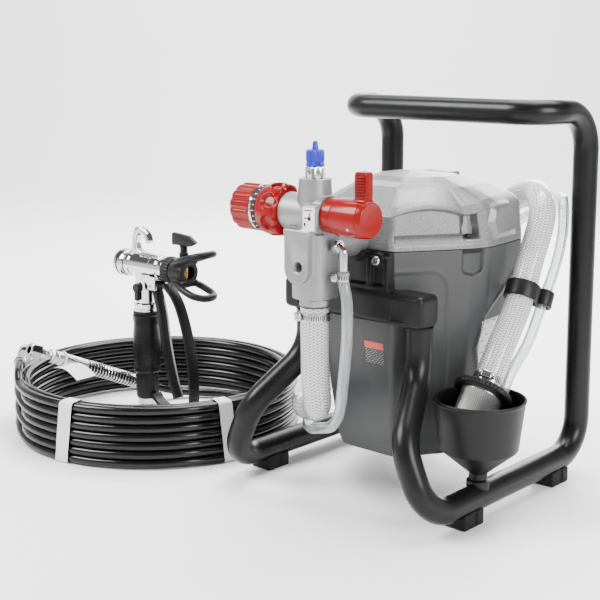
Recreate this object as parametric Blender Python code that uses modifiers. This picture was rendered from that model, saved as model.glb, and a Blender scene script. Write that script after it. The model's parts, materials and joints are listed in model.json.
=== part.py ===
"""Airless paint sprayer: pump unit on a tube frame, spray gun and coiled hose.

Metres, +Z up. The kit's origin is on the floor, under the middle of pump and gun.
Each of the three tools hangs from its own empty, and is drawn in its own coordinates.
"""
import math

import bmesh
import bpy
from mathutils import Vector

# Where the tools stand on the floor.
PUMP_AT = Vector((0.1335, 0.0178, 0.0))
GUN_AT = PUMP_AT + Vector((-0.405, -0.040, 0.0))
COIL_AT = PUMP_AT + Vector((-0.355, -0.065, 0.0))
GAP = 0.0003              # air between pieces that touch
SLACK = 0.0001            # air around a shaft that turns

# Tube frame.
TUBE_R = 0.014
TRACK = 0.136             # half the distance between the two floor tubes
FLOOR_TUBE_Z = 0.024
FRAME_REAR_Y = 0.141
FRAME_FRONT_Y = -0.149
HANDLE_Y = 0.047
HANDLE_Z = 0.416
RISER_X = 0.076
RISER_Y = -0.085
FOOT_Y = 0.085
SADDLE_R = TUBE_R + 2 * GAP

# Housing: the plan at the seam, right half from front to back, and its scale at each height.
SEAM_Z = 0.275
HALF_PLAN = [(0.047, -0.097), (0.073, -0.060), (0.097, -0.021), (0.105, 0.0),
             (0.102, 0.037), (0.096, 0.079), (0.070, 0.100)]
HOUSING_LEVELS = [(0.045, 0.76), (0.060, 0.82), (0.120, 0.91), (0.190, 0.97)]
COVER_LEVELS = [(0.300, 0.985), (0.325, 0.94), (0.343, 0.80), (0.355, 0.52)]
WALL = 0.003

# Mounting bracket on the front of the housing.
PLATE_HALF = 0.050
PLATE_FRONT_Y = -0.100
ARM_HALF = 0.095
ARM_FRONT_Y = -0.108
ARM_BACK_Y = -0.074
ARM_LOW_Z = 0.200
ARM_TOP_Z = 0.235

# Pump head.
HEAD_Y = -0.162           # upright axis of the manifold
VALVE_Z = 0.318           # axis of the pressure knob and the prime lever
PISTON_Z = 0.285
BORE_R = 0.007
HEAD_LOW_Z = 0.232
HEAD_TOP_Z = 0.354

# Motor and drive, on the upright axis through the housing.
GEAR_Z = 0.240
GEAR_WIDTH = 0.010
GEAR_MODULE = 0.00125
PINION_TEETH = 12
GEAR_TEETH = 40
GEAR_Y = -(PINION_TEETH + GEAR_TEETH) * GEAR_MODULE / 2 - 0.0002
CRANK = 0.005
PIN_R = 0.003
SHAFT_R = 0.006

# Suction side.
CUP_AT = Vector((0.136, -0.060, 0.0))
SUCTION_R = 0.015
RETURN_R = 0.006
STRAINER_AT = Vector((0.1347, -0.0524, 0.1333))
STRAINER_WAY = Vector((0.044, -0.66, -0.75))
CLIP_AT = Vector((0.1270, 0.0305, 0.2250))
CLIP_WAY = Vector((0.083, -0.545, -0.836))
RETURN_AT_CLIP = Vector((0.1415, 0.0505, 0.2160))

# Gun: upright handle at its own origin, spraying towards +X.
BARREL_Z = 0.200
TRIGGER_PIVOT = Vector((0.021, 0.0, 0.176))
LOCK_PIVOT = Vector((0.002, 0.0, 0.172))
TIP_X = 0.075

# High-pressure hose: 14 turns, 7 high and 2 deep.
HOSE_R = 0.00525
COIL_OUT = 0.183
COIL_IN = COIL_OUT - 4 * HOSE_R
COIL_LOW = 0.0012
COIL_TOP = COIL_LOW + 14 * HOSE_R
END_A = Vector((-0.115, -0.117, 0.101))      # mouth of the nut that lies over the coil
END_A_STOP = Vector((-0.085, 0.035, 0.034))  # far end of its spring guard
END_B_ANGLE = math.radians(226)
END_B_R = 0.176

SUCTION_ROUTE = [(0.0, -0.162, 0.2217), (0.0, -0.162, 0.185), (0.0, -0.161, 0.145), (-0.004, -0.153, 0.119),
                 (-0.020, -0.138, 0.106), (-0.045, -0.121, 0.098), (-0.072, -0.097, 0.091),
                 (-0.101, -0.060, 0.093), (-0.119, -0.014, 0.106), (-0.123, 0.036, 0.131),
                 (-0.113, 0.083, 0.166), (-0.088, 0.119, 0.206), (-0.045, 0.128, 0.246),
                 (0.0, 0.131, 0.280), (0.045, 0.132, 0.308), (0.083, 0.122, 0.321), (0.109, 0.096, 0.311),
                 (0.119, 0.078, 0.294), (0.122, 0.063, 0.274), (0.124, 0.048, 0.253), (0.128, 0.021, 0.2125),
                 (0.132, -0.0135, 0.1780), (0.1334, -0.0365, 0.1513)]
RETURN_ROUTE = [(0.0345, -0.158, 0.2617), (0.0345, -0.158, 0.252), (0.0395, -0.158, 0.228),
                (0.0395, -0.158, 0.192), (0.0350, -0.158, 0.146), (0.026, -0.153, 0.112), (0.006, -0.141, 0.091),
                (-0.022, -0.126, 0.079), (-0.055, -0.107, 0.068), (-0.083, -0.079, 0.065),
                (-0.105, -0.043, 0.068), (-0.120, -0.003, 0.080), (-0.125, 0.045, 0.101), (-0.116, 0.093, 0.133),
                (-0.092, 0.126, 0.172), (-0.045, 0.133, 0.212), (0.0, 0.137, 0.248), (0.046, 0.142, 0.280),
                (0.085, 0.143, 0.304), (0.113, 0.129, 0.317), (0.131, 0.104, 0.3125), (0.140, 0.0895, 0.288),
                (0.142, 0.078, 0.262), (0.142, 0.0645, 0.237), (0.1415, 0.0505, 0.216), (0.1430, 0.020, 0.1755),
                (0.1425, -0.0125, 0.1475), (0.142, -0.0258, 0.1285)]
HOSE_LEAD_ROUTE = [(-0.0848, 0.0365, 0.0332), (-0.079, 0.062, 0.022), (-0.068, 0.090, 0.012),
                   (-0.048, 0.116, 0.0078), (-0.018, 0.137, 0.0072), (0.020, 0.149, 0.0072), (0.054, 0.1455, 0.0072)]


# ---------------------------------------------------------------- helpers

def clear_scene():
    for obj in list(bpy.data.objects):
        bpy.data.objects.remove(obj, do_unlink=True)


def collection(name):
    made = bpy.data.collections.new(name)
    bpy.context.scene.collection.children.link(made)
    return made


def empty(name, location):
    made = bpy.data.objects.new(name, None)
    made.location = location
    PARTS.objects.link(made)
    return made


def material(name, colour, roughness, metallic=0.0):
    made = bpy.data.materials.new(name)
    made.use_nodes = True
    shader = made.node_tree.nodes["Principled BSDF"]
    shader.inputs["Base Color"].default_value = (*colour, 1.0)
    shader.inputs["Roughness"].default_value = roughness
    shader.inputs["Metallic"].default_value = metallic
    made.diffuse_color = (*colour, 1.0)
    return made


def place(obj, parent, at=(0, 0, 0), way=None):
    """Hang an object from a tool's empty; way is where its own +Z looks."""
    obj.parent = parent
    obj.location = at
    if way is not None:
        obj.rotation_euler = Vector(way).to_track_quat("Z", "Y").to_euler()
    return obj


def part(obj, name, look, parent, at=(0, 0, 0), way=None):
    """Name a finished sub-part, give it its material and put it in its place."""
    obj.name = name
    obj.data.name = name
    obj.data.materials.clear()
    obj.data.materials.append(LOOKS[look])
    if obj.type == "MESH":
        obj.data.shade_smooth()
        obj.data.set_sharp_from_angle(angle=math.radians(35))
    PARTS.objects.link(obj)
    return place(obj, parent, at, way)


def tool(obj, parent, at=(0, 0, 0), way=None):
    """Put a solid that cuts or joins another in the cutters collection."""
    CUTTERS.objects.link(obj)
    obj.hide_render = True
    obj.display_type = "WIRE"
    return place(obj, parent, at, way)


def boolean(obj, other, operation):
    modifier = obj.modifiers.new(operation.title(), "BOOLEAN")
    modifier.operation = operation
    modifier.object = other


def cut(obj, *others):
    for other in others:
        boolean(obj, other, "DIFFERENCE")


def join(obj, *others):
    for other in others:
        boolean(obj, other, "UNION")


def from_bmesh(shape, name="shape"):
    mesh = bpy.data.meshes.new(name)
    shape.to_mesh(mesh)
    shape.free()
    return bpy.data.objects.new(name, mesh)


def box(low, high):
    low = Vector(low)
    high = Vector(high)
    shape = bmesh.new()
    bmesh.ops.create_cube(shape, size=1.0)
    bmesh.ops.scale(shape, vec=high - low, verts=shape.verts)
    bmesh.ops.translate(shape, vec=(low + high) / 2, verts=shape.verts)
    return from_bmesh(shape)


def cylinder(radius, low, high, sides=20, top_radius=None):
    """A cylinder or cone on its own Z axis, from height low to height high."""
    top_radius = radius if top_radius is None else top_radius
    shape = bmesh.new()
    bmesh.ops.create_cone(shape, cap_ends=True, segments=sides, radius1=radius, radius2=top_radius,
                          depth=high - low)
    bmesh.ops.translate(shape, vec=(0, 0, (low + high) / 2), verts=shape.verts)
    return from_bmesh(shape)


def ball(radius, rings=6):
    shape = bmesh.new()
    bmesh.ops.create_uvsphere(shape, u_segments=2 * rings, v_segments=rings, radius=radius)
    return from_bmesh(shape)


def turned(profile, steps=20, ring=False):
    """Turn a profile of (radius, height) points, listed down its outer side, about Z."""
    mesh = bpy.data.meshes.new("turned")
    points = [(radius, 0.0, height) for radius, height in profile]
    edges = [(i, i + 1) for i in range(len(points) - 1)]
    if ring:
        edges.append((len(points) - 1, 0))
    mesh.from_pydata(points, edges, [])
    obj = bpy.data.objects.new("turned", mesh)
    screw = obj.modifiers.new("Screw", "SCREW")
    screw.steps = steps
    screw.render_steps = steps
    screw.use_merge_vertices = True
    screw.merge_threshold = 0.00001
    return obj


def ring(outer, inner, low, high, steps=20):
    return turned([(outer, high), (outer, low), (inner, low), (inner, high)], steps, ring=True)


def tube(points, radius, resolution=3):
    """A round rod or hose along points, with filled ends."""
    curve = bpy.data.curves.new("tube", "CURVE")
    curve.dimensions = "3D"
    curve.bevel_depth = radius
    curve.bevel_resolution = resolution
    curve.use_fill_caps = True
    spline = curve.splines.new("POLY")
    spline.points.add(len(points) - 1)
    for target, point in zip(spline.points, points):
        target.co = (*point, 1.0)
    return bpy.data.objects.new("tube", curve)


def plate(outlines, thickness):
    """A flat outline in its own XY plane, thick along Z; later outlines are holes."""
    curve = bpy.data.curves.new("plate", "CURVE")
    curve.dimensions = "2D"
    curve.fill_mode = "BOTH"
    curve.extrude = thickness / 2
    for outline in outlines:
        spline = curve.splines.new("POLY")
        spline.points.add(len(outline) - 1)
        for target, point in zip(spline.points, outline):
            target.co = (point[0], point[1], 0.0, 1.0)
        spline.use_cyclic_u = True
    return bpy.data.objects.new("plate", curve)


def as_mesh(obj):
    """Turn a curve object into a welded mesh object, so that it can be cut or joined."""
    CUTTERS.objects.link(obj)
    bpy.context.view_layer.update()
    evaluated = obj.evaluated_get(bpy.context.evaluated_depsgraph_get())
    mesh = bpy.data.meshes.new_from_object(evaluated)
    shape = bmesh.new()
    shape.from_mesh(mesh)
    bmesh.ops.remove_doubles(shape, verts=shape.verts, dist=0.00001)
    shape.to_mesh(mesh)
    shape.free()
    bpy.data.objects.remove(obj, do_unlink=True)
    return bpy.data.objects.new("mesh", mesh)


def mirrored_y(points):
    return [(x, -y, z) for x, y, z in reversed(points)]


def circle(radius, centre=(0.0, 0.0), sides=20):
    return [(centre[0] + radius * math.cos(math.tau * i / sides),
             centre[1] + radius * math.sin(math.tau * i / sides)) for i in range(sides)]


def smooth_route(points, spacing):
    """Points a given distance apart on a Catmull-Rom curve through a cord's own points."""
    points = [Vector(p) for p in points]
    ends = [2 * points[0] - points[1]] + points + [2 * points[-1] - points[-2]]
    fine = []
    for a, b, c, d in zip(ends, ends[1:], ends[2:], ends[3:]):
        for step in range(12):
            t = step / 12
            fine.append(0.5 * (2 * b + (c - a) * t + (2 * a - 5 * b + 4 * c - d) * t * t
                               + (3 * b - a - 3 * c + d) * t ** 3))
    fine.append(points[-1])
    length = sum((q - p).length for p, q in zip(fine, fine[1:]))
    count = max(2, round(length / spacing))
    route = [fine[0]]
    walked = 0.0
    for p, q in zip(fine, fine[1:]):
        step = (q - p).length
        while len(route) < count and walked + step >= length * len(route) / count:
            share = (length * len(route) / count - walked) / step
            route.append(p.lerp(q, share))
        walked += step
    return route + [fine[-1]]


def rounded(corners, turn=math.radians(18)):
    """Points along a bent tube: corners are (point, bend radius), each bend a true arc."""
    places = [Vector(point) for point, _ in corners]
    route = [places[0]]
    for before, (_, radius), here, after in zip(places, corners[1:], places[1:], places[2:]):
        into = (here - before).normalized()
        out = (after - here).normalized()
        angle = into.angle(out)
        reach = radius * math.tan(angle / 2)
        start = here - into * reach
        inward = (out - into * into.dot(out)).normalized()
        centre = start + inward * radius
        steps = max(2, math.ceil(angle / turn))
        for i in range(steps + 1):
            a = angle * i / steps
            route.append(centre - inward * radius * math.cos(a) + into * radius * math.sin(a))
    return route + [places[-1]]


def lofted(levels, margin=0.0, cap_low=True, cap_high=True):
    """A skin through the housing's plan, scaled at each height and grown by a margin."""
    plan = HALF_PLAN + [(-x, y) for x, y in reversed(HALF_PLAN)]
    shape = bmesh.new()
    rings = []
    for height, scale in levels:
        grown = scale * (1 + margin / HALF_PLAN[3][0])
        rings.append([shape.verts.new((x * grown, y * grown, height)) for x, y in plan])
    for lower, upper in zip(rings, rings[1:]):
        for i in range(len(plan)):
            j = (i + 1) % len(plan)
            shape.faces.new((lower[i], lower[j], upper[j], upper[i]))
    if cap_low:
        shape.faces.new(reversed(rings[0]))
    if cap_high:
        shape.faces.new(rings[-1])
    return from_bmesh(shape)


def hollow(obj):
    solidify = obj.modifiers.new("Wall", "SOLIDIFY")
    solidify.thickness = WALL
    solidify.offset = -1.0


def gear_outline(teeth, module, turn):
    """A gear's outline with straight-sided teeth, thinned for play; a tooth points at angle turn."""
    pitch = math.tau / teeth
    tip = teeth * module / 2 + 0.85 * module
    root = teeth * module / 2 - 1.15 * module
    outline = []
    for tooth in range(teeth):
        middle = turn + tooth * pitch
        for radius, share in ((root, -0.30), (tip, -0.11), (tip, 0.11), (root, 0.30)):
            angle = middle + share * pitch
            outline.append((radius * math.cos(angle), radius * math.sin(angle)))
    return outline


def strip(points, thickness):
    """The outline of a flat bar bent along points in its own plane."""
    left = []
    right = []
    for i, point in enumerate(points):
        before = Vector(points[max(i - 1, 0)])
        after = Vector(points[min(i + 1, len(points) - 1)])
        along = (after - before).normalized()
        side = Vector((-along.y, along.x)) * thickness / 2
        left.append(Vector(point) + side)
        right.append(Vector(point) - side)
    return left + right[::-1]


def stand(obj, parent, at=(0, 0, 0)):
    """Stand a flat plate up, so that its own Y becomes height and it is thick along Y."""
    place(obj, parent, at)
    obj.rotation_euler = (math.radians(90), 0, 0)
    return obj


# ---------------------------------------------------------------- frame and housing

def tube_frame():
    right = [((RISER_X, RISER_Y, ARM_LOW_Z - GAP), 0), ((RISER_X, RISER_Y, 0.150), 0.055),
             ((0.106, FRAME_FRONT_Y, 0.092), 0.050), ((TRACK, FRAME_FRONT_Y, FLOOR_TUBE_Z), 0.036),
             ((TRACK, FRAME_REAR_Y, FLOOR_TUBE_Z), 0.042), ((TRACK, FRAME_REAR_Y, HANDLE_Z), 0.045),
             ((TRACK, HANDLE_Y, HANDLE_Z), 0.040)]
    left = [((-x, y, z), radius) for (x, y, z), radius in reversed(right)]
    part(tube(rounded(right + left), TUBE_R, 3), "tube_frame", "painted tube", PUMP)


def feet():
    for side, x in (("right", TRACK), ("left", -TRACK)):
        for end, y in (("front", -FOOT_Y), ("rear", FOOT_Y)):
            foot = box((-0.014, -0.017, 0.0), (0.014, 0.017, 0.017))
            saddle = tool(cylinder(SADDLE_R, -0.03, 0.03, 20), PUMP, (x, y, FLOOR_TUBE_Z), (0, 1, 0))
            part(foot, f"foot_{end}_{side}", "rubber", PUMP, (x, y, 0.0))
            cut(foot, saddle)


def mounting_bracket():
    beam = box((-ARM_HALF, ARM_FRONT_Y, ARM_LOW_Z), (ARM_HALF, ARM_BACK_Y, ARM_TOP_Z))
    face = tool(box((-PLATE_HALF, PLATE_FRONT_Y, ARM_LOW_Z + 0.002), (PLATE_HALF, -0.080, SEAM_Z - GAP)), PUMP)
    housing = tool(lofted([(0.15, 0.945), (0.190, 0.97), (0.290, 1.005)], 0.0006), PUMP)
    part(beam, "mounting_bracket", "cast black", PUMP)
    join(beam, face)
    cut(beam, housing, PISTON_WAY)


def motor_housing():
    shell = lofted(HOUSING_LEVELS + [(SEAM_Z - GAP, 1.0)], cap_high=False)
    part(shell, "motor_housing", "housing plastic", PUMP)
    hollow(shell)
    cut(shell, PISTON_WAY)


def top_cover():
    shell = lofted([(SEAM_Z + GAP, 1.0)] + COVER_LEVELS, cap_low=False)
    part(shell, "top_cover", "cover plastic", PUMP)
    hollow(shell)
    cut(shell, PISTON_WAY)


def cord_hook():
    route = rounded([((-PLATE_HALF - GAP, -0.099, 0.266), 0), ((-0.074, -0.099, 0.266), 0.016),
                     ((-0.108, -0.120, 0.268), 0.012), ((-0.086, -0.098, 0.250), 0.010),
                     ((-0.086, -0.098, ARM_TOP_Z + GAP), 0)], math.radians(25))
    part(tube(route, 0.0045, 2), "cord_hook", "painted tube", PUMP)


def switch_and_gland():
    bezel = box((-0.012, 0.0, -0.017), (0.012, 0.010, 0.017))
    window = tool(box((-0.0078, -0.001, -0.0125), (0.0078, 0.020, 0.0125)), PUMP, (0.040, 0.0970, 0.160))
    part(bezel, "switch_bezel", "black plastic", PUMP, (0.040, 0.0970, 0.160))
    cut(bezel, window)
    rocker = box((-0.0070, -0.0045, -0.0110), (0.0070, 0.0055, 0.0110))
    part(rocker, "power_switch", "red plastic", PUMP, (0.040, 0.1035, 0.160))
    gland = turned([(0.0055, 0.030), (0.010, 0.008), (0.010, 0.0), (0.0032, 0.0), (0.0032, 0.030)], 16, ring=True)
    part(gland, "cord_gland", "rubber", PUMP, (-0.030, 0.0866, 0.075), (0, 1, 0))


# ---------------------------------------------------------------- motor and drive

def motor():
    part(ring(0.055, 0.034, 0.085, 0.165, 32), "motor_stator", "steel", PUMP)
    rotor = turned([(0.0, 0.252), (PIN_R, 0.252), (PIN_R, 0.2365), (SHAFT_R, 0.2365), (SHAFT_R, 0.162),
                    (0.033, 0.162), (0.033, 0.088), (SHAFT_R, 0.088), (SHAFT_R, 0.056), (0.0, 0.056)])
    part(rotor, "motor_rotor", "steel", PUMP)
    for name, low in (("lower_bearing", 0.058), ("upper_bearing", 0.223)):
        part(ring(0.0110, SHAFT_R + GAP, low, low + 0.010), name, "steel", PUMP)
    fan = ring(0.012, SHAFT_R + GAP, 0.172, 0.184)
    part(fan, "cooling_fan", "black plastic", PUMP)
    for i in range(7):
        blade = tool(box((0.010, -0.001, 0.173), (0.048, 0.001, 0.183)), PUMP)
        blade.rotation_euler = (0, 0, math.tau * i / 7)
        join(fan, blade)


def gear_train():
    support = cylinder(0.064, 0.222, 0.2345, 32)
    part(support, "gear_plate", "cast aluminium", PUMP)
    cut(support, tool(cylinder(0.0113, 0.20, 0.25), PUMP), tool(cylinder(0.0042, 0.20, 0.25), PUMP, (0, GEAR_Y, 0)))
    outline = gear_outline(PINION_TEETH, GEAR_MODULE, -math.pi / 2)
    pinion = plate([outline, circle(PIN_R + GAP)], GEAR_WIDTH)
    part(pinion, "drive_pinion", "steel", PUMP, (0, 0, GEAR_Z + GEAR_WIDTH / 2))
    half_pitch = math.pi / GEAR_TEETH
    gear = as_mesh(plate([gear_outline(GEAR_TEETH, GEAR_MODULE, math.pi / 2 + half_pitch)], GEAR_WIDTH))
    part(gear, "reduction_gear", "steel", PUMP, (0, GEAR_Y, GEAR_Z + GEAR_WIDTH / 2))
    stub = tool(cylinder(0.0040, 0.223, GEAR_Z + 0.002), PUMP, (0, GEAR_Y, 0))
    crank_pin = tool(cylinder(PIN_R, GEAR_Z + 0.005, 0.2905, 16), PUMP, (CRANK, GEAR_Y, 0))
    join(gear, stub, crank_pin)


def piston():
    """Crosshead frame and piston rod; its window leaves room for the crank pin at any turn."""
    yoke = box((-0.0150, -0.0190, -0.0065), (0.0150, 0.0190, 0.0065))
    part(yoke, "piston_rod", "steel", PUMP, (0, GEAR_Y, PISTON_Z))
    join(yoke, tool(cylinder(0.0090, 0.0150, 0.1170), PUMP, (0, GEAR_Y, PISTON_Z), (0, -1, 0)))
    cut(yoke, tool(box((-0.0092, -0.0138, -0.02), (0.0092, 0.0138, 0.02)), PUMP, (0, GEAR_Y, PISTON_Z)))


# ---------------------------------------------------------------- pump head

def pump_manifold():
    body = cylinder(0.0235, HEAD_LOW_Z, 0.296, 20)
    part(body, "pump_manifold", "cast aluminium", PUMP, (0, HEAD_Y, 0))
    head = (0, HEAD_Y, 0)
    neck = tool(cylinder(0.0205, 0.290, HEAD_TOP_Z, 20, 0.0165), PUMP, head)
    cross = tool(cylinder(0.0200, -0.0340, 0.0197, 20), PUMP, (0, HEAD_Y, VALVE_Z), (1, 0, 0))
    barrel = tool(cylinder(0.0180, 0.0, -0.0965 - HEAD_Y, 20), PUMP, (0, HEAD_Y, PISTON_Z), (0, 1, 0))
    pad = tool(box((-0.0180, -0.027, 0.264), (0.0180, 0.0, 0.302)), PUMP, head)
    pad_end = tool(cylinder(0.0180, 0.0, 0.027, 20), PUMP, (0, HEAD_Y, 0.264), (0, -1, 0))
    join(body, neck, cross, barrel, pad, pad_end)
    upright = tool(cylinder(BORE_R, 0.20, 0.318), PUMP, head)
    seat = tool(cylinder(0.0035, 0.31, 0.334), PUMP, head)
    outlet = tool(cylinder(BORE_R, 0.3268, 0.40), PUMP, head)
    across = tool(cylinder(0.0066, -0.05, 0.05), PUMP, (0, HEAD_Y, VALVE_Z), (1, 0, 0))
    piston_bore = tool(cylinder(0.0093, -0.003, 0.09), PUMP, (0, HEAD_Y, PISTON_Z), (0, 1, 0))
    port = tool(cylinder(0.0050, 0.0, 0.05), PUMP, (0, HEAD_Y, 0.266), (0, -1, 0))
    cut(body, upright, seat, outlet, across, piston_bore, port)


def valves():
    barb = turned([(BORE_R - GAP, 0.2380), (BORE_R - GAP, HEAD_LOW_Z - GAP), (0.0165, HEAD_LOW_Z - GAP),
                   (0.0165, 0.2220), (0.004, 0.2220), (0.004, 0.2380)], 24, ring=True)
    part(barb, "inlet_barb", "cast aluminium", PUMP, (0, HEAD_Y, 0))
    part(ball(0.005), "inlet_ball", "steel", PUMP, (0, HEAD_Y, 0.2415))
    part(ball(0.005), "outlet_ball", "steel", PUMP, (0, HEAD_Y, 0.3310))
    nipple = cylinder(0.0105, HEAD_TOP_Z + GAP, 0.366, 6)
    part(nipple, "outlet_fitting", "chrome", PUMP, (0, HEAD_Y, 0))
    shank = tool(cylinder(BORE_R - GAP, 0.340, 0.379), PUMP, (0, HEAD_Y, 0))
    join(nipple, shank)
    cut(nipple, tool(cylinder(0.0030, 0.30, 0.40, 16), PUMP, (0, HEAD_Y, 0)))
    cap = turned([(0.0, 0.392), (0.003, 0.392), (0.003, 0.384), (0.0095, 0.3815), (0.0095, 0.3665),
                  (BORE_R + GAP, 0.3665), (BORE_R + GAP, 0.3795), (0.0, 0.3795)], 20)
    part(cap, "outlet_cap", "blue plastic", PUMP, (0, HEAD_Y, 0))


def pressure_control():
    collar_at = (-0.0340 - GAP, HEAD_Y, VALVE_Z)
    collar = turned([(0.025, 0.0275), (0.028, 0.0240), (0.028, 0.0040), (0.022, 0.0), (0.0066, 0.0),
                     (0.0066, 0.0275)], 32, ring=True)
    part(collar, "pressure_collar", "red plastic", PUMP, collar_at, (-1, 0, 0))
    knob = turned([(0.0, 0.038), (0.022, 0.038), (0.025, 0.034), (0.025, 0.0), (0.006, 0.0),
                   (0.006, -0.0310), (0.0, -0.0310)], 32)
    part(knob, "pressure_knob", "red plastic", PUMP, (collar_at[0] - 0.0275 - GAP, HEAD_Y, VALVE_Z), (-1, 0, 0))


def prime_valve():
    base = ring(0.0180, 0.0056, 0.0, 0.0135, 28)
    part(base, "prime_valve_base", "red plastic", PUMP, (0.0197 + GAP, HEAD_Y, VALVE_Z), (1, 0, 0))
    lever = turned([(0.0, 0.041), (0.0185, 0.041), (0.0195, 0.040), (0.0195, 0.0), (0.005, 0.0),
                    (0.005, -0.0200), (0.0, -0.0200)], 28)
    part(lever, "prime_lever", "red plastic", PUMP, (0.0338, HEAD_Y, VALVE_Z), (1, 0, 0))
    join(lever, tool(box((0.0222, -0.0060, 0.0), (0.0368, 0.0062, 0.047)), PUMP, (0.0338, HEAD_Y, VALVE_Z)))
    barb = rounded([((0.0245, -0.158, 0.2865), 0), ((0.0345, -0.158, 0.2865), 0.007),
                    ((0.0345, -0.158, 0.2625), 0)], math.radians(25))
    part(tube(barb, 0.0045, 3), "return_barb", "chrome", PUMP)


# ---------------------------------------------------------------- suction side

def hoses():
    suction = tube(smooth_route(SUCTION_ROUTE, 0.026), SUCTION_R, 3)
    part(suction, "suction_hose", "clear hose", PUMP)
    part(tube(smooth_route(RETURN_ROUTE, 0.022), RETURN_R, 2), "return_tube", "clear hose", PUMP)


def hose_clip():
    """Two snap rings on one spine, holding the return tube beside the suction hose."""
    clip = cylinder(0.0187, -0.009, 0.009, 20)
    part(clip, "hose_clip", "black plastic", PUMP, CLIP_AT, CLIP_WAY)
    join(clip, tool(cylinder(0.0103, -0.009, 0.009, 16), PUMP, RETURN_AT_CLIP, CLIP_WAY))
    cut(clip, tool(cylinder(0.0166, -0.03, 0.03, 20), PUMP, CLIP_AT, CLIP_WAY),
        tool(cylinder(0.0074, -0.03, 0.03, 16), PUMP, RETURN_AT_CLIP, CLIP_WAY))


def strainer():
    cap = turned([(0.0, 0.003), (0.0310, 0.003), (0.0310, -0.004), (0.0, -0.004)], 28)
    part(cap, "strainer_cap", "black plastic", PUMP, STRAINER_AT, -STRAINER_WAY)
    join(cap, tool(cylinder(0.0120, 0.0, 0.0185), PUMP, STRAINER_AT, -STRAINER_WAY))
    mesh_at = STRAINER_AT + STRAINER_WAY.normalized() * 0.0043
    basket = turned([(0.0, 0.0), (0.0220, 0.0), (0.0200, -0.030), (0.0, -0.030)], 28)
    part(basket, "strainer_mesh", "mesh steel", PUMP, mesh_at, -STRAINER_WAY)


def drip_cup():
    cup = turned([(0.048, 0.130), (0.048, 0.127), (0.038, 0.077), (0.0095, 0.050), (0.0095, 0.0425),
                  (0.0068, 0.0425), (0.0068, 0.0520), (0.0358, 0.0795), (0.0458, 0.130)], 28, ring=True)
    part(cup, "drip_cup", "black plastic", PUMP, CUP_AT)
    peg = cylinder(0.0120, 0.030, 0.0422)
    part(peg, "cup_peg", "black plastic", PUMP, CUP_AT)
    join(peg, tool(cylinder(0.0060, 0.036, 0.0600), PUMP, CUP_AT))
    cut(peg, tool(cylinder(SADDLE_R, -0.03, 0.03, 20), PUMP, (CUP_AT.x, CUP_AT.y, FLOOR_TUBE_Z), (0, 1, 0)))


# ---------------------------------------------------------------- gun

def gun_head():
    hook = [(-0.020, 0.190), (-0.022, 0.222), (-0.016, 0.243), (-0.004, 0.251), (0.012, 0.246), (0.020, 0.236),
            (0.014, 0.229), (0.006, 0.239), (-0.004, 0.241), (-0.010, 0.233), (-0.008, 0.222), (0.004, 0.214),
            (0.030, 0.215), (0.044, 0.210), (0.044, 0.190)]
    head = cylinder(0.0160, -0.0280, 0.0460, 28)
    part(head, "gun_head", "chrome", GUN, (0, 0, BARREL_Z), (1, 0, 0))
    fin = as_mesh(plate([hook], 0.0110))
    stand(tool(fin, GUN), GUN)
    neck = tool(cylinder(0.0135, 0.1503, 0.190), GUN)
    cheek = box((0.0120, -0.0115, 0.170), (0.0300, 0.0115, 0.195))
    gap = tool(box((0.0145, -0.0078, 0.160), (0.0400, 0.0078, 0.1835)), GUN)
    join(head, fin, neck, tool(cheek, GUN))
    needle_bore = tool(cylinder(0.0030, -0.05, 0.06, 16), GUN, (0, 0, BARREL_Z), (1, 0, 0))
    pin_bore = tool(cylinder(0.0023, -0.03, 0.03, 16), GUN, TRIGGER_PIVOT, (0, 1, 0))
    cut(head, gap, needle_bore, pin_bore)


def gun_fixed_parts():
    cap = turned([(0.0, 0.0177), (0.0170, 0.0177), (0.0180, 0.0160), (0.0180, 0.0), (0.0, 0.0)], 28)
    part(cap, "gun_rear_cap", "chrome", GUN, (-0.0283, 0, BARREL_Z), (-1, 0, 0))
    handle = turned([(0.0160, 0.1500), (0.0165, 0.1400), (0.0185, 0.1350), (0.0185, 0.0700), (0.0168, 0.0570),
                     (0.0145, 0.0560), (0.0145, 0.0226), (0.0075, 0.0226), (0.0075, 0.1500)], 28, ring=True)
    part(handle, "gun_handle", "grip", GUN)
    part(cylinder(0.0060, 0.0300, 0.1420, 16), "gun_filter", "mesh steel", GUN)
    guard = [(0.0166, 0.0285), (0.0240, 0.0210), (0.0400, 0.0140), (0.0720, 0.0120), (0.0860, 0.0180),
             (0.0900, 0.0320), (0.0890, 0.0700), (0.0820, 0.1100), (0.0700, 0.1450), (0.0580, 0.1650),
             (0.0410, 0.1795)]
    bow = plate([strip(guard, 0.0050)], 0.0160)
    stand(part(bow, "trigger_guard", "black plastic", GUN), GUN)
    part(ring(0.0175, 0.0040, 0.0, 0.0135, 28), "retaining_nut", "black plastic", GUN,
         (0.0460 + GAP, 0, BARREL_Z), (1, 0, 0))
    pin = cylinder(0.0020, -0.0125, 0.0125, 16)
    part(pin, "trigger_pin", "steel", GUN, TRIGGER_PIVOT, (0, 1, 0))


def gun_trigger():
    lever = [(0.0, 0.0), (0.0060, -0.0180), (0.0120, -0.0400), (0.0170, -0.0700), (0.0240, -0.1000),
             (0.0320, -0.1260), (0.0400, -0.1450)]
    trigger = as_mesh(plate([strip(lever, 0.0090)], 0.0140))
    stand(part(trigger, "gun_trigger", "black plastic", GUN), GUN, TRIGGER_PIVOT)
    join(trigger, tool(cylinder(0.0060, -0.0070, 0.0070), GUN, TRIGGER_PIVOT, (0, 1, 0)))
    cut(trigger, tool(cylinder(0.0020 + SLACK, -0.03, 0.03, 16), GUN, TRIGGER_PIVOT, (0, 1, 0)))


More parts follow.
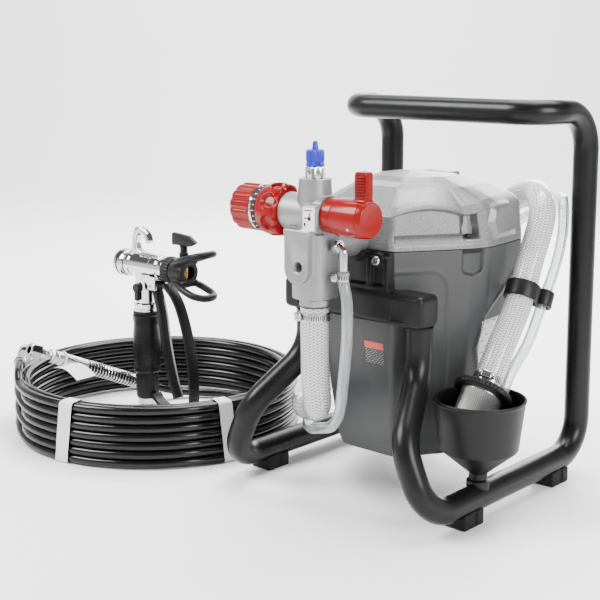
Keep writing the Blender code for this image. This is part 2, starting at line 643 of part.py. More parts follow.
def gun_moving_parts():
    lock = box((-0.0040, -0.0190, -0.0170), (0.0040, -0.0150, 0.0040))
    part(lock, "trigger_lock", "black plastic", GUN, LOCK_PIVOT)
    join(lock, tool(cylinder(0.0065, 0.0140, 0.0200, 12), GUN, LOCK_PIVOT, (0, -1, 0)))
    part(cylinder(0.0015, -0.0200, 0.0480, 12), "gun_needle", "steel", GUN, (0, 0, BARREL_Z), (1, 0, 0))
    swivel = ring(0.0130, 0.0040, 0.0, 0.0223)
    part(swivel, "gun_swivel", "chrome", GUN)


def spray_tip():
    guard = cylinder(0.0165, 0.0, 0.0250, 20)
    guard_at = (0.0460 + 0.0135 + 3 * GAP, 0, BARREL_Z)
    part(guard, "tip_guard", "black plastic", GUN, guard_at, (1, 0, 0))
    for side in (1, -1):
        half = [(0.068, -0.010, 0.011 * side), (0.092, -0.018, 0.020 * side), (0.108, -0.017, 0.025 * side),
                (0.120, -0.010, 0.028 * side), (0.124, 0.0, 0.029 * side)]
        loop = smooth_route(half + mirrored_y(half)[1:], 0.014)
        join(guard, tool(as_mesh(tube(loop, 0.0036, 2)), GUN, (0, 0, BARREL_Z)))
    mouth = tool(cylinder(0.0085, TIP_X, 0.10), GUN, (0, 0, BARREL_Z), (1, 0, 0))
    tip_bore = tool(cylinder(0.0064, -0.03, 0.03), GUN, (TIP_X, 0, BARREL_Z))
    needle_bore = tool(cylinder(0.0030, 0.05, TIP_X, 16), GUN, (0, 0, BARREL_Z), (1, 0, 0))
    cut(guard, mouth, tip_bore, needle_bore)
    stem = cylinder(0.0062 - SLACK, -0.0160, 0.0350)
    part(stem, "spray_tip", "brass", GUN, (TIP_X, 0, BARREL_Z))
    arrow = [(-0.020, 0.0340), (0.012, 0.0340), (0.024, 0.0400), (0.012, 0.0480), (-0.020, 0.0500)]
    join(stem, stand(tool(as_mesh(plate([arrow], 0.0060)), GUN), GUN, (TIP_X, 0, BARREL_Z)))


# ---------------------------------------------------------------- high-pressure hose

def hose_ends():
    way = END_A_STOP - END_A
    part(ring(0.0105, 0.0050, 0.0, 0.0200, 6), "hose_nut_a", "chrome", COIL, END_A, way)
    ferrule = turned([(0.0, 0.0870), (0.0088, 0.0870), (0.0088, 0.0300), (0.0065, 0.0280), (0.0065, 0.0203),
                      (0.0, 0.0203)])
    part(ferrule, "hose_ferrule_a", "chrome", COIL, END_A, way)
    part(cylinder(0.0095, 0.0873, way.length), "spring_guard", "steel", COIL, END_A, way)
    radial = Vector((math.cos(END_B_ANGLE), math.sin(END_B_ANGLE), 0))
    along = Vector((radial.y, -radial.x, 0))
    start = radial * END_B_R + Vector((0, 0, COIL_TOP + 0.0090))
    part(cylinder(0.0085, 0.0, 0.0420), "hose_ferrule_b", "chrome", COIL, start, along)
    part(ring(0.0105, 0.0050, 0.0423, 0.0600, 6), "hose_nut_b", "chrome", COIL, start + Vector((0, 0, 0.0020)), along)


def hose_runs():
    part(ring(COIL_OUT, COIL_IN, COIL_LOW, COIL_TOP, 48), "hose_coil", "black hose", COIL)
    part(tube(smooth_route(HOSE_LEAD_ROUTE, 0.014), HOSE_R, 3), "hose_lead", "black hose", COIL)
    tail = []
    for i in range(9):
        angle = END_B_ANGLE + math.radians(34) * (1 - i / 8) + 0.0040
        height = COIL_TOP + GAP + HOSE_R + 0.0034 * (i / 8) ** 2
        tail.append((END_B_R * math.cos(angle), END_B_R * math.sin(angle), height))
    part(tube(tail, HOSE_R, 3), "hose_tail", "black hose", COIL)


clear_scene()
PARTS = collection("airless_paint_sprayer")
CUTTERS = collection("cutters")
PUMP = empty("pump", PUMP_AT)
GUN = empty("gun", GUN_AT)
COIL = empty("coil", COIL_AT)
LOOKS = {
    "painted tube": material("painted tube", (0.020, 0.020, 0.022), 0.35, 0.2),
    "rubber": material("rubber", (0.015, 0.015, 0.015), 0.8),
    "cast black": material("cast black", (0.020, 0.020, 0.021), 0.5, 0.2),
    "housing plastic": material("housing plastic", (0.090, 0.092, 0.095), 0.55),
    "cover plastic": material("cover plastic", (0.38, 0.38, 0.39), 0.4, 0.5),
    "black plastic": material("black plastic", (0.018, 0.018, 0.019), 0.5),
    "red plastic": material("red plastic", (0.70, 0.020, 0.018), 0.25),
    "blue plastic": material("blue plastic", (0.020, 0.050, 0.70), 0.35),
    "cast aluminium": material("cast aluminium", (0.52, 0.52, 0.53), 0.45, 0.9),
    "steel": material("steel", (0.50, 0.50, 0.50), 0.35, 1.0),
    "chrome": material("chrome", (0.75, 0.75, 0.76), 0.12, 1.0),
    "mesh steel": material("mesh steel", (0.55, 0.55, 0.55), 0.4, 1.0),
    "brass": material("brass", (0.60, 0.38, 0.12), 0.3, 1.0),
    "grip": material("grip", (0.020, 0.020, 0.022), 0.6),
    "clear hose": material("clear hose", (0.72, 0.73, 0.74), 0.2),
    "black hose": material("black hose", (0.012, 0.012, 0.013), 0.25),
}
PISTON_WAY = tool(cylinder(0.0186, -0.03, 0.03, 28), PUMP, (0, -0.1, PISTON_Z), (0, 1, 0))

tube_frame()
feet()
mounting_bracket()
motor_housing()
top_cover()
cord_hook()
switch_and_gland()
motor()
gear_train()
piston()
pump_manifold()
valves()
pressure_control()
prime_valve()
hoses()
hose_clip()
strainer()
drip_cup()
gun_head()
gun_fixed_parts()
gun_trigger()
gun_moving_parts()
spray_tip()
hose_ends()
hose_runs()
bpy.context.view_layer.update()
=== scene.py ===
# %% [markdown]
# # An airless paint sprayer
# The pump unit stands on a bent tube frame with its hoses, strainer and drip cup. The spray
# gun stands inside a coil of high-pressure hose beside it. Everything is in metres with +Z up.
# %% Load the frame
import json
import math
import random

import bmesh
import bpy
from mathutils import Matrix, Vector

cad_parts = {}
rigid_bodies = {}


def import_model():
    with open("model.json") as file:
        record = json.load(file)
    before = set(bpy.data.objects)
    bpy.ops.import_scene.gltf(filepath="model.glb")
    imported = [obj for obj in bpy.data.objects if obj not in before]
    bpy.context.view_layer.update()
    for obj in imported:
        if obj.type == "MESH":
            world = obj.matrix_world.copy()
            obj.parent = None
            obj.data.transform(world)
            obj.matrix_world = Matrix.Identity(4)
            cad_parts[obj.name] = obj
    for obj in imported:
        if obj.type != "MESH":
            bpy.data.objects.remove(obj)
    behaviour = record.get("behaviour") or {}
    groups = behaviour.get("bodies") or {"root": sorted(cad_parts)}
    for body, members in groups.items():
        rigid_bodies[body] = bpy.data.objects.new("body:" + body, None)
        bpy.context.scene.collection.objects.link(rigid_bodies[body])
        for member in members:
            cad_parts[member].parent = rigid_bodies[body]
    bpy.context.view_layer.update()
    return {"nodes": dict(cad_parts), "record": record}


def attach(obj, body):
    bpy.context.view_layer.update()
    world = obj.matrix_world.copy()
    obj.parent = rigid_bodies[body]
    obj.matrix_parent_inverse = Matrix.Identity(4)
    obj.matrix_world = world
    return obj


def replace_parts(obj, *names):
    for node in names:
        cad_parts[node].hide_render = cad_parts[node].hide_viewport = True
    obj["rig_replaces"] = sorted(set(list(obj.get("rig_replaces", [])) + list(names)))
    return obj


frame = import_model()
for name in ("Cube", "Light", "Camera"):
    if name in bpy.data.objects:
        bpy.data.objects.remove(bpy.data.objects[name])

# %% [markdown]
# ## Where each tool stands
# The three tools are drawn in their own coordinates and stood on the floor at these places,
# so that a dimension on the pump reads the same wherever the pump stands.
# %% Stand the tools
PUMP = Vector((0.1335, 0.0178, 0.0))
GUN = PUMP + Vector((-0.405, -0.040, 0.0))
COIL = PUMP + Vector((-0.355, -0.065, 0.0))
print("pump", tuple(PUMP), "gun", tuple(GUN), "coil", tuple(COIL))

# %% [markdown]
# ## The camera
# A long lens from low on the right shows the front of the pump head and the right side of the
# housing together. The shift keeps the uprights of the frame nearly parallel.
# %% Set up the camera
lens = bpy.data.cameras.new("camera")
camera = bpy.data.objects.new("camera", lens)
bpy.context.scene.collection.objects.link(camera)
bpy.context.scene.camera = camera
camera.location = (0.9521, -1.0762, 0.487)
camera.rotation_euler = (math.radians(90 - 8.987), 0, math.radians(42))
lens.lens = 73.98
lens.sensor_width = 36
lens.shift_y = -0.10
lens.clip_start = 0.05
print("camera at", tuple(camera.location))

# %% [markdown]
# ## A small node kit
# Each finish is a Principled shader fed by noise or waves. Two helpers keep the recipes
# short: one adds a node with its inputs already set or linked, one starts a material.
# %% Helpers for materials
def node(tree, kind, inputs=None, **settings):
    """Add a shader node; inputs are values, or sockets to link from."""
    made = tree.nodes.new("ShaderNode" + kind)
    for key, value in settings.items():
        setattr(made, key, value)
    for key, value in (inputs or {}).items():
        if isinstance(value, bpy.types.NodeSocket):
            tree.links.new(value, made.inputs[key])
        else:
            made.inputs[key].default_value = value
    return made


def start_material(name, colour, roughness, metallic=0.0, **others):
    """A named material with constant values on its Principled shader."""
    material = bpy.data.materials.new(name)
    material.use_nodes = True
    tree = material.node_tree
    shader = tree.nodes["Principled BSDF"]
    shader.inputs["Base Color"].default_value = (*colour, 1)
    shader.inputs["Roughness"].default_value = roughness
    shader.inputs["Metallic"].default_value = metallic
    for key, value in others.items():
        shader.inputs[key.replace("_", " ")].default_value = value
    return material, tree, shader


def spread(tree, socket, low, high):
    """Turn a 0..1 value into low..high."""
    ranged = node(tree, "MapRange", {"Value": socket, "To Min": low, "To Max": high})
    return ranged.outputs["Result"]


def worked(tree, operation, a, b):
    """The result of one sum on two values or sockets."""
    return node(tree, "Math", {0: a, 1: b}, operation=operation).outputs[0]


def tint(tree, factor, colour_a, colour_b):
    """Blend two colours by a factor."""
    mixed = node(tree, "Mix", {0: factor, 6: (*colour_a, 1), 7: (*colour_b, 1)}, data_type="RGBA")
    return mixed.outputs[2]


def mottled(name, colour, roughness, metallic=0.0, grain=700.0, bump=0.0001, vary=0.12,
            patch=25.0, **others):
    """A finish with fine grain in its surface and slow patches in its gloss and shade."""
    material, tree, shader = start_material(name, colour, roughness, metallic, **others)
    place = node(tree, "TexCoord").outputs["Object"]
    fine = node(tree, "TexNoise", {"Vector": place, "Scale": grain, "Detail": 3.0})
    slow = node(tree, "TexNoise", {"Vector": place, "Scale": patch, "Detail": 4.0})
    darker = [c * (1 - vary) for c in colour]
    lighter = [min(1.0, c * (1 + vary)) for c in colour]
    shade = tint(tree, slow.outputs[0], darker, lighter)
    tree.links.new(shade, shader.inputs["Base Color"])
    gloss = spread(tree, slow.outputs[0], roughness * (1 - 2 * vary), roughness * (1 + 2 * vary))
    tree.links.new(gloss, shader.inputs["Roughness"])
    relief = node(tree, "Bump", {"Height": fine.outputs[0], "Distance": bump, "Strength": 1.0})
    tree.links.new(relief.outputs[0], shader.inputs["Normal"])
    return material


# %% [markdown]
# ## Painted and moulded finishes
# The frame is powder coated, which leaves a faint orange peel. The bracket is a painted
# casting with a coarser skin. The mouldings are spark-eroded satin, and the knobs are glossy.
# %% Mix the plain finishes
LOOKS = {
    "painted_tube": mottled("powder coat", (0.005, 0.005, 0.0055), 0.30, grain=420, bump=0.00007,
                            Specular_IOR_Level=0.22),
    "cast_black": mottled("painted casting", (0.005, 0.005, 0.0055), 0.38, grain=900, bump=0.00014,
                          Specular_IOR_Level=0.22),
    "rubber": mottled("rubber", (0.007, 0.007, 0.007), 0.70, grain=1500, bump=0.00006,
                      Specular_IOR_Level=0.2),
    "black_plastic": mottled("black moulding", (0.006, 0.006, 0.0065), 0.40, grain=1400, bump=0.00006,
                             Specular_IOR_Level=0.22),
    "grip": mottled("grip", (0.005, 0.005, 0.0055), 0.32, grain=1100, bump=0.00008,
                    Specular_IOR_Level=0.25),
    "red_plastic": mottled("red moulding", (0.21, 0.0002, 0.0003), 0.24, grain=160, bump=0.00003,
                           vary=0.06, Specular_IOR_Level=0.2, Coat_Weight=0.10, Coat_Roughness=0.08),
    "blue_plastic": mottled("blue moulding", (0.003, 0.012, 0.38), 0.30, grain=600, bump=0.00004),
    "housing_plastic": mottled("housing moulding", (0.030, 0.0305, 0.0315), 0.46, grain=1900,
                               bump=0.00011, vary=0.05, patch=9),
    "cast_aluminium": mottled("blasted casting", (0.27, 0.27, 0.275), 0.44, 0.80, grain=1500,
                              bump=0.00012, vary=0.10),
    "steel": mottled("turned steel", (0.46, 0.46, 0.455), 0.24, 1.0, grain=900, bump=0.00004),
    "chrome": mottled("chrome", (0.62, 0.62, 0.63), 0.07, 1.0, grain=120, bump=0.00004, vary=0.08),
    "mesh_steel": mottled("wire", (0.55, 0.55, 0.54), 0.30, 1.0, grain=900, bump=0.00003),
    "brass": mottled("brass", (0.66, 0.36, 0.09), 0.24, 1.0, grain=500, bump=0.00005),
    "black_hose": mottled("hose jacket", (0.004, 0.004, 0.0045), 0.20, grain=260, bump=0.00009,
                          Specular_IOR_Level=0.25, Coat_Weight=0.15, Coat_Roughness=0.15),
    "copper": mottled("copper wire", (0.80, 0.30, 0.14), 0.30, 1.0, grain=500, bump=0.00005),
    "paper": mottled("paper strap", (0.66, 0.66, 0.65), 0.65, grain=500, bump=0.0003, vary=0.03),
    # The shadow gap finish is the real black of the cover screws, the scale band and the pictogram, and
    # painted shade where it fills the housing seam, the clamp slots and the inside of the strainer.
    "dark": mottled("shadow gap", (0.004, 0.004, 0.004), 0.8, grain=800, bump=0.00005),
}
print(len(LOOKS), "finishes mixed")

# %% [markdown]
# ## Silver fleck for the cover
# The cover's plastic has metal flakes in it. Small random cells tilt the gloss and the shade
# from flake to flake, which gives the sparkle that paint on metal doesn't have.
# %% Mix the silver fleck
def flecked():
    """Metal flake paint: every small cell has a grey and a gloss of its own."""
    material, tree, shader = start_material("silver fleck", (0.45, 0.45, 0.46), 0.38, 0.55)
    place = node(tree, "TexCoord").outputs["Object"]
    cells = node(tree, "TexVoronoi", {"Vector": place, "Scale": 1500.0})
    grey = node(tree, "SeparateColor", {"Color": cells.outputs["Color"]})
    shade = tint(tree, grey.outputs[0], (0.115, 0.115, 0.119), (0.24, 0.24, 0.245))
    tree.links.new(shade, shader.inputs["Base Color"])
    tree.links.new(spread(tree, grey.outputs[1], 0.28, 0.50), shader.inputs["Roughness"])
    grain = node(tree, "TexNoise", {"Vector": place, "Scale": 1700.0, "Detail": 2.0})
    relief = node(tree, "Bump", {"Height": grain.outputs[0], "Distance": 0.0001})
    tree.links.new(relief.outputs[0], shader.inputs["Normal"])
    return material


LOOKS["cover_plastic"] = flecked()
print("silver fleck ready")

# %% [markdown]
# ## One skin for everything
# Nearly every part is a skin through rings of points. Turned parts, bent tubes and mouldings
# only differ in how their rings are laid out, so one function makes the mesh for all of them.
# %% Stretch a skin through rings
def object_from(shape, name):
    """Turn a finished bmesh into an object of its own."""
    mesh = bpy.data.meshes.new(name)
    shape.to_mesh(mesh)
    shape.free()
    return bpy.data.objects.new(name, mesh)


def skin(name, rings, low_cap=True, high_cap=True, length=1.0, closed=False):
    """A mesh through rings of points; U runs once around, V runs along, up to length."""
    sides = len(rings[0])
    last = len(rings) if closed else len(rings) - 1
    shape = bmesh.new()
    uv = shape.loops.layers.uv.new("UVMap")
    rows = [[shape.verts.new(point) for point in ring] for ring in rings]
    for j in range(last):
        here, above = rows[j], rows[(j + 1) % len(rows)]
        for i in range(sides):
            k = (i + 1) % sides
            face = shape.faces.new((here[i], here[k], above[k], above[i]))
            face.smooth = True
            corners = ((i, j), (i + 1, j), (i + 1, j + 1), (i, j + 1))
            for corner, (a, b) in zip(face.loops, corners):
                corner[uv].uv = (a / sides, length * b / last)
    if low_cap and not closed:
        shape.faces.new(rows[0][::-1])
    if high_cap and not closed:
        shape.faces.new(rows[-1])
    bmesh.ops.recalc_face_normals(shape, faces=shape.faces)
    return object_from(shape, name)


print("skin() is ready")


def finish_piece(obj, name, look, body="pump_unit", at=(0, 0, 0), way=None, sharp=32, stands_for=()):
    """Name a piece, place it with its own Z along way, paint it and let it ride its body."""
    obj.name = obj.data.name = name
    if obj.name not in bpy.context.scene.collection.objects:
        bpy.context.scene.collection.objects.link(obj)
    obj.location = at
    if way is not None:
        obj.rotation_euler = Vector(way).to_track_quat("Z", "Y").to_euler()
    obj.data.materials.clear()
    obj.data.materials.append(LOOKS[look])
    if obj.type == "MESH":
        obj.data.shade_smooth()
        obj.data.set_sharp_from_angle(angle=math.radians(sharp))
    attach(obj, body)
    if stands_for:
        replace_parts(obj, *stands_for)
    return obj


# %% [markdown]
# ## Turned parts
# Nuts, caps, knobs and clamps are profiles turned about an axis. Their flats, flutes and ribs
# are waves that change the radius as the angle changes, and small arcs round every corner.
# %% Helpers for turned parts
def turned(profile, sides=64, wave=None):
    """Turn (radius, height) points about Z; a profile that ends where it starts makes a ring.

    wave(angle, radius, height) may change a radius.
    """
    ring_shaped = profile[0] == profile[-1]
    rings = []
    for radius, height in profile[:-1] if ring_shaped else profile:
        ring = []
        for i in range(sides):
            angle = math.tau * i / sides
            r = wave(angle, radius, height) if wave else radius
            ring.append(Vector((r * math.cos(angle), r * math.sin(angle), height)))
        rings.append(ring)
    return skin("turned", rings, closed=ring_shaped)


def softened(profile, radius=0.0008, steps=3):
    """Round the corners of a (radius, height) profile with small arcs."""
    made = [profile[0]]
    for before, here, after in zip(profile, profile[1:], profile[2:]):
        a, b, c = Vector(before), Vector(here), Vector(after)
        reach = min(radius, (b - a).length * 0.45, (c - b).length * 0.45)
        start = b + (a - b).normalized() * reach if reach else b
        end = b + (c - b).normalized() * reach if reach else b
        for i in range(steps + 1):
            t = i / steps
            made.append(tuple(start * (1 - t) ** 2 + b * 2 * t * (1 - t) + end * t * t))
    return made + [profile[-1]]


def hoop(inner, outer, low, high, sides=64, soft=0.0, wave=None):
    """A plain ring with a rectangular section, its corners rounded if soft."""
    profile = [(inner, low), (outer, low), (outer, high), (inner, high), (inner, low)]
    return turned(softened(profile, soft) if soft else profile, sides, wave)


def rod(radius, low, high, sides=48, top=None):
    """A plain cylinder or cone along its own Z."""
    return turned([(radius, low), (radius if top is None else top, high)], sides)


def hexed(across):
    """A wave that trims a turned profile to a hexagon, which leaves the arcs of a real nut."""
    def trim(angle, radius, height):
        flat = across / 2 / math.cos((angle % (math.pi / 3)) - math.pi / 6)
        return min(radius, flat)
    return trim


print("turning helpers ready")

# %% [markdown]
# ## Bent and flowing tubes
# A bender leaves true arcs between straight stretches, and a hose flows through its points.
# Both routes become tubes in the same way: a ring of points carried along without twisting.
# %% Helpers for tubes
def length_of(line):
    return sum((q - p).length for p, q in zip(line, line[1:]))


def paced(line, count):
    """Points spaced evenly along a line, from its start and without its end."""
    run, paces, walked = length_of(line), [], 0.0
    for p, q in zip(line, line[1:]):
        step = (q - p).length
        while len(paces) < count and walked + step >= run * len(paces) / count:
            paces.append(p.lerp(q, (run * len(paces) / count - walked) / step))
        walked += step
    return paces


def sweep(points, radius, sides=24, caps=True):
    """A round tube along points."""
    points = [Vector(p) for p in points]
    along = (points[1] - points[0]).normalized()
    side = along.orthogonal().normalized()
    rings = []
    for i, point in enumerate(points):
        before, after = points[max(i - 1, 0)], points[min(i + 1, len(points) - 1)]
        new_along = (after - before).normalized()
        side = (along.rotation_difference(new_along) @ side).normalized()
        along = new_along
        other = along.cross(side)
        turn = [math.tau * k / sides for k in range(sides)]
        rings.append([point + radius * (math.cos(a) * side + math.sin(a) * other) for a in turn])
    return skin("sweep", rings, caps, caps, length=length_of(points))


def bent(corners, turn=math.radians(4)):
    """Points along a bent tube: corners are (point, bend radius), each bend a true arc."""
    places = [Vector(point) for point, _ in corners]
    route = [places[0]]
    for before, (_, radius), here, after in zip(places, corners[1:], places[1:], places[2:]):
        into, out = (here - before).normalized(), (after - here).normalized()
        angle = into.angle(out)
        start = here - into * radius * math.tan(angle / 2)
        inward = (out - into * into.dot(out)).normalized()
        centre = start + inward * radius
        steps = max(2, math.ceil(angle / turn))
        for i in range(steps + 1):
            a = angle * i / steps
            route.append(centre - inward * radius * math.cos(a) + into * radius * math.sin(a))
    return route + [places[-1]]


def flowing(points, spacing):
    """Points a given distance apart on a smooth curve through the given ones."""
    points = [Vector(p) for p in points]
    ends = [2 * points[0] - points[1]] + points + [2 * points[-1] - points[-2]]
    fine = []
    for a, b, c, d in zip(ends, ends[1:], ends[2:], ends[3:]):
        for step in range(24):
            t = step / 24
            fine.append(0.5 * (2 * b + (c - a) * t + (2 * a - 5 * b + 4 * c - d) * t * t
                               + (3 * b - a - 3 * c + d) * t ** 3))
    fine.append(points[-1])
    return paced(fine, max(2, round(length_of(fine) / spacing))) + [fine[-1]]


print("tube helpers ready")

# %% [markdown]
# ## Slabs, plates and castings
# Flat parts are rounded slabs or cut plates. A casting is a group of overlapping solids melted
# into one skin, which gives soft fillets. Its faces and bores are cut afterwards and stay crisp.
# %% Helpers for solid parts
def slab(low, high, bevel=0.0, segments=3):
    """A box from corner to corner, with rounded edges."""
    low, high = Vector(low), Vector(high)
    shape = bmesh.new()
    bmesh.ops.create_cube(shape, size=1.0)
    bmesh.ops.scale(shape, vec=high - low, verts=shape.verts)
    bmesh.ops.translate(shape, vec=(low + high) / 2, verts=shape.verts)
    if bevel:
        bmesh.ops.bevel(shape, geom=shape.edges[:], offset=bevel, segments=segments, profile=0.5,
                        affect="EDGES")
    return object_from(shape, "slab")


def plate(outline, thickness, bevel=0.0, holes=()):
    """A flat outline (x, z) standing up, thick along Y, with rounded rims."""
    curve = bpy.data.curves.new("plate", "CURVE")
    curve.dimensions = "2D"
    curve.fill_mode = "BOTH"
    curve.extrude = max(thickness / 2 - bevel, 0.00001)
    curve.bevel_depth = bevel
    curve.bevel_resolution = 2
    curve.offset = -bevel
    for points in (outline, *holes):
        spline = curve.splines.new("POLY")
        spline.points.add(len(points) - 1)
        for target, point in zip(spline.points, points):
            target.co = (point[0], point[1], 0.0, 1.0)
        spline.use_cyclic_u = True
    solid = worked_out(bpy.data.objects.new("plate", curve))
    solid.data.transform(Matrix.Rotation(math.radians(90), 4, "X"))
    return solid


def worked_out(obj):
    """A plain mesh object in place of one with modifiers or a curve."""
    if obj.name not in bpy.context.scene.collection.objects:
        bpy.context.scene.collection.objects.link(obj)
    bpy.context.view_layer.update()
    mesh = bpy.data.meshes.new_from_object(obj.evaluated_get(bpy.context.evaluated_depsgraph_get()))
    mesh.transform(obj.matrix_world)
    shape = bmesh.new()
    shape.from_mesh(mesh)
    bmesh.ops.remove_doubles(shape, verts=shape.verts, dist=0.000005)
    bpy.data.objects.remove(obj)
    return object_from(shape, "solid")


def moved(obj, at=(0, 0, 0), way=None):
    """Move the mesh itself, so that its place is in its own points."""
    if way is not None:
        obj.data.transform(Vector(way).to_track_quat("Z", "Y").to_matrix().to_4x4())
    obj.data.transform(Matrix.Translation(Vector(at)))
    return obj


def spun(obj, angle):
    """Turn the mesh itself about its own Z."""
    obj.data.transform(Matrix.Rotation(angle, 4, "Z"))
    return obj


def as_one(objects):
    """Put several meshes into one, without welding them."""
    shape = bmesh.new()
    for obj in objects:
        shape.from_mesh(obj.data)
        if obj.name in bpy.context.scene.collection.objects:
            bpy.context.scene.collection.objects.unlink(obj)
    return object_from(shape, "one")


def cast(solids, grain, soften):
    """Melt overlapping solids into one skin with soft fillets, as a casting has."""
    lump = as_one(solids)
    remesh = lump.modifiers.new("skin", "REMESH")
    remesh.mode = "VOXEL"
    remesh.voxel_size = grain
    smooth = lump.modifiers.new("fillets", "SMOOTH")
    smooth.iterations = soften
    smooth.factor = 0.5
    return worked_out(lump)


def carve(obj, cutters, operation="DIFFERENCE"):
    """Cut clean faces and bores into a solid."""
    for cutter in cutters:
        bpy.context.scene.collection.objects.link(cutter)
        modifier = obj.modifiers.new("cut", "BOOLEAN")
        modifier.operation = operation
        modifier.object = cutter
    made = worked_out(obj)
    for cutter in cutters:
        bpy.data.objects.remove(cutter)
    return made


print("solid helpers ready")

# %% [markdown]
# ## The high-pressure hose
# Fifty feet of quarter-inch hose lie in a ring seven turns high and two deep. The hose leaves
# its spring guard inside the ring, drops to the floor and winds up in flat pairs: out, up,
# in, up. Real coils step from one lane to the next in a short stretch, and so does this one.
# %% Wind the coil
HOSE_R = 0.00525
COIL_LOW = 0.0012
TURNS = 14
COIL_TOP = COIL_LOW + TURNS * HOSE_R
LANES = (0.1673, 0.1772)
STEP_AT = math.radians(245)
END_A = Vector((-0.115, -0.117, 0.101))
END_A_STOP = Vector((-0.085, 0.035, 0.034))
WAY_A = (END_A_STOP - END_A).normalized()
LEAD = [(-0.0848, 0.0365, 0.0332), (-0.079, 0.062, 0.022), (-0.068, 0.090, 0.012), (-0.048, 0.116, 0.0078),
        (-0.018, 0.137, 0.0072), (0.020, 0.149, 0.0072), (0.054, 0.1455, 0.0072)]
STEP_HALF = math.radians(16)
random.seed(5)
WOBBLE = [random.uniform(0, math.tau) for _ in range(2 * (TURNS + 1))][::2]


def eased(t):
    """A soft step from 0 to 1."""
    t = min(1.0, max(0.0, t))
    return t * t * (3 - 2 * t)


def lane(turn):
    """Radius and height of one turn: pairs of lanes, the order swapping at each layer."""
    layer, place = divmod(turn, 2)
    column = place if layer % 2 == 0 else 1 - place
    return LANES[column], COIL_LOW + (2 * layer + 1) * HOSE_R


def on_coil(turned_by):
    """The hose at an angle wound clockwise from the first step."""
    turn = max(0, min(TURNS - 1, int(turned_by // math.tau)))
    into = turned_by - turn * math.tau
    share = 0.0
    if into > math.tau - STEP_HALF and turn < TURNS - 1:
        share = eased((into - math.tau + STEP_HALF) / (2 * STEP_HALF))
    elif into < STEP_HALF and turn > 0:
        share = eased((into + STEP_HALF) / (2 * STEP_HALF))
        turn -= 1
    radius, height = lane(turn)
    if share:
        next_radius, next_height = lane(turn + 1)
        radius += (next_radius - radius) * share
        height += (next_height - height) * share
    calm = min(1.0, into / 0.6, (math.tau - into) / 0.6) if 0 <= into <= math.tau else 0
    radius += 0.0004 * calm * math.sin(2 * turned_by + WOBBLE[turn]) - 0.0003 * calm
    angle = STEP_AT - turned_by
    return Vector((radius * math.cos(angle), radius * math.sin(angle), height))


def wind():
    """The whole route: out of the spring guard, down to the floor, round the coil and over its top."""
    inside = END_A + WAY_A * 0.0900
    route = flowing([inside, END_A + WAY_A * 0.13, *LEAD], 0.006)
    first = math.tau - math.radians(185)
    slices = 60
    for i in range(1, int(slices * (TURNS - first / math.tau)) + 1):
        turned_by = first + math.tau * i / slices
        point = on_coil(turned_by)
        settle = eased((turned_by - first) / math.radians(42))
        if settle < 1:
            flat = Vector((point.x, point.y)).normalized() * (0.1552 + (LANES[0] - 0.1552) * settle)
            point = Vector((flat.x, flat.y, 0.0072 + (point.z - 0.0072) * settle))
        route.append(point)
    for i in range(1, 11):
        angle = STEP_AT - math.radians(19) * i / 10
        radius = LANES[1] + (0.176 - LANES[1]) * eased(i / 6)
        height = COIL_TOP - HOSE_R + (2 * HOSE_R + 0.0003) * eased(i / 6) + 0.0034 * eased((i - 5) / 5)
        route.append(Vector((radius * math.cos(angle), radius * math.sin(angle), height)))
    return [point + COIL for point in route]


hose_route = wind()
curve = bpy.data.curves.new("high_pressure_hose", "CURVE")
curve.dimensions = "3D"
curve.bevel_depth = HOSE_R
curve.bevel_resolution = 6
spline = curve.splines.new("POLY")
spline.points.add(len(hose_route) - 1)
for target, point in zip(spline.points, hose_route):
    target.co = (*point, 1)
spline.use_smooth = True
hose = finish_piece(bpy.data.objects.new("high_pressure_hose", curve), "high_pressure_hose", "black_hose",
                    stands_for=("hose_coil", "hose_lead", "hose_tail"))
print("hose", round(length_of(hose_route), 2), "m in", len(hose_route), "points")

# %% [markdown]
# ## Fittings on the hose
# Each end has a swivel nut on a crimped ferrule. Crimping leaves fine lines along the ferrule.
# End A also has a spring guard, a close helix of bright wire that stops the hose from kinking.
# %% Make the hose fittings
def crimped(depth, count):
    """A wave of fine pressed lines along a ferrule."""
    def press(angle, radius, height):
        return radius - depth * (0.5 + 0.5 * math.cos(count * angle)) ** 4
    return press


def nut_at(name, body, at, way, length, node_name):
    """A plated swivel nut with its open mouth at the start."""
    profile = [(0.0050, 0.0), (0.0085, 0.0), (0.0105, 0.0012), (0.0105, length - 0.0050),
               (0.0088, length - 0.0044), (0.0088, length), (0.0050, length)]
    nut = turned([*profile, profile[0]], 96, hexed(0.0184))
    return finish_piece(nut, name, "chrome", body, at, way, 20, (node_name,))


nut_a = nut_at("swivel_nut_a", "nut_a", COIL + END_A, WAY_A, 0.0200, "hose_nut_a")
ferrule_a = turned([(0.0, 0.0203), (0.0062, 0.0203), (0.0062, 0.0285), (0.0083, 0.0300), (0.0088, 0.0308),
                    (0.0088, 0.0390), (0.0083, 0.0394), (0.0083, 0.0404), (0.0088, 0.0408), (0.0088, 0.0790),
                    (0.0085, 0.0800), (0.0085, 0.0868), (0.0, 0.0868)], 144, crimped(0.0003, 30))
ferrule_a = finish_piece(ferrule_a, "ferrule_a", "chrome", "pump_unit", COIL + END_A, WAY_A, 40,
                         ("hose_ferrule_a",))


def helix(radius, wire, low, high, turns, sides=10):
    """Wire wound evenly about Z."""
    points = []
    for i in range(int(turns * 28) + 1):
        t = i / (turns * 28)
        angle = math.tau * turns * t
        points.append((radius * math.cos(angle), radius * math.sin(angle), low + (high - low) * t))
    return sweep(points, wire, sides)


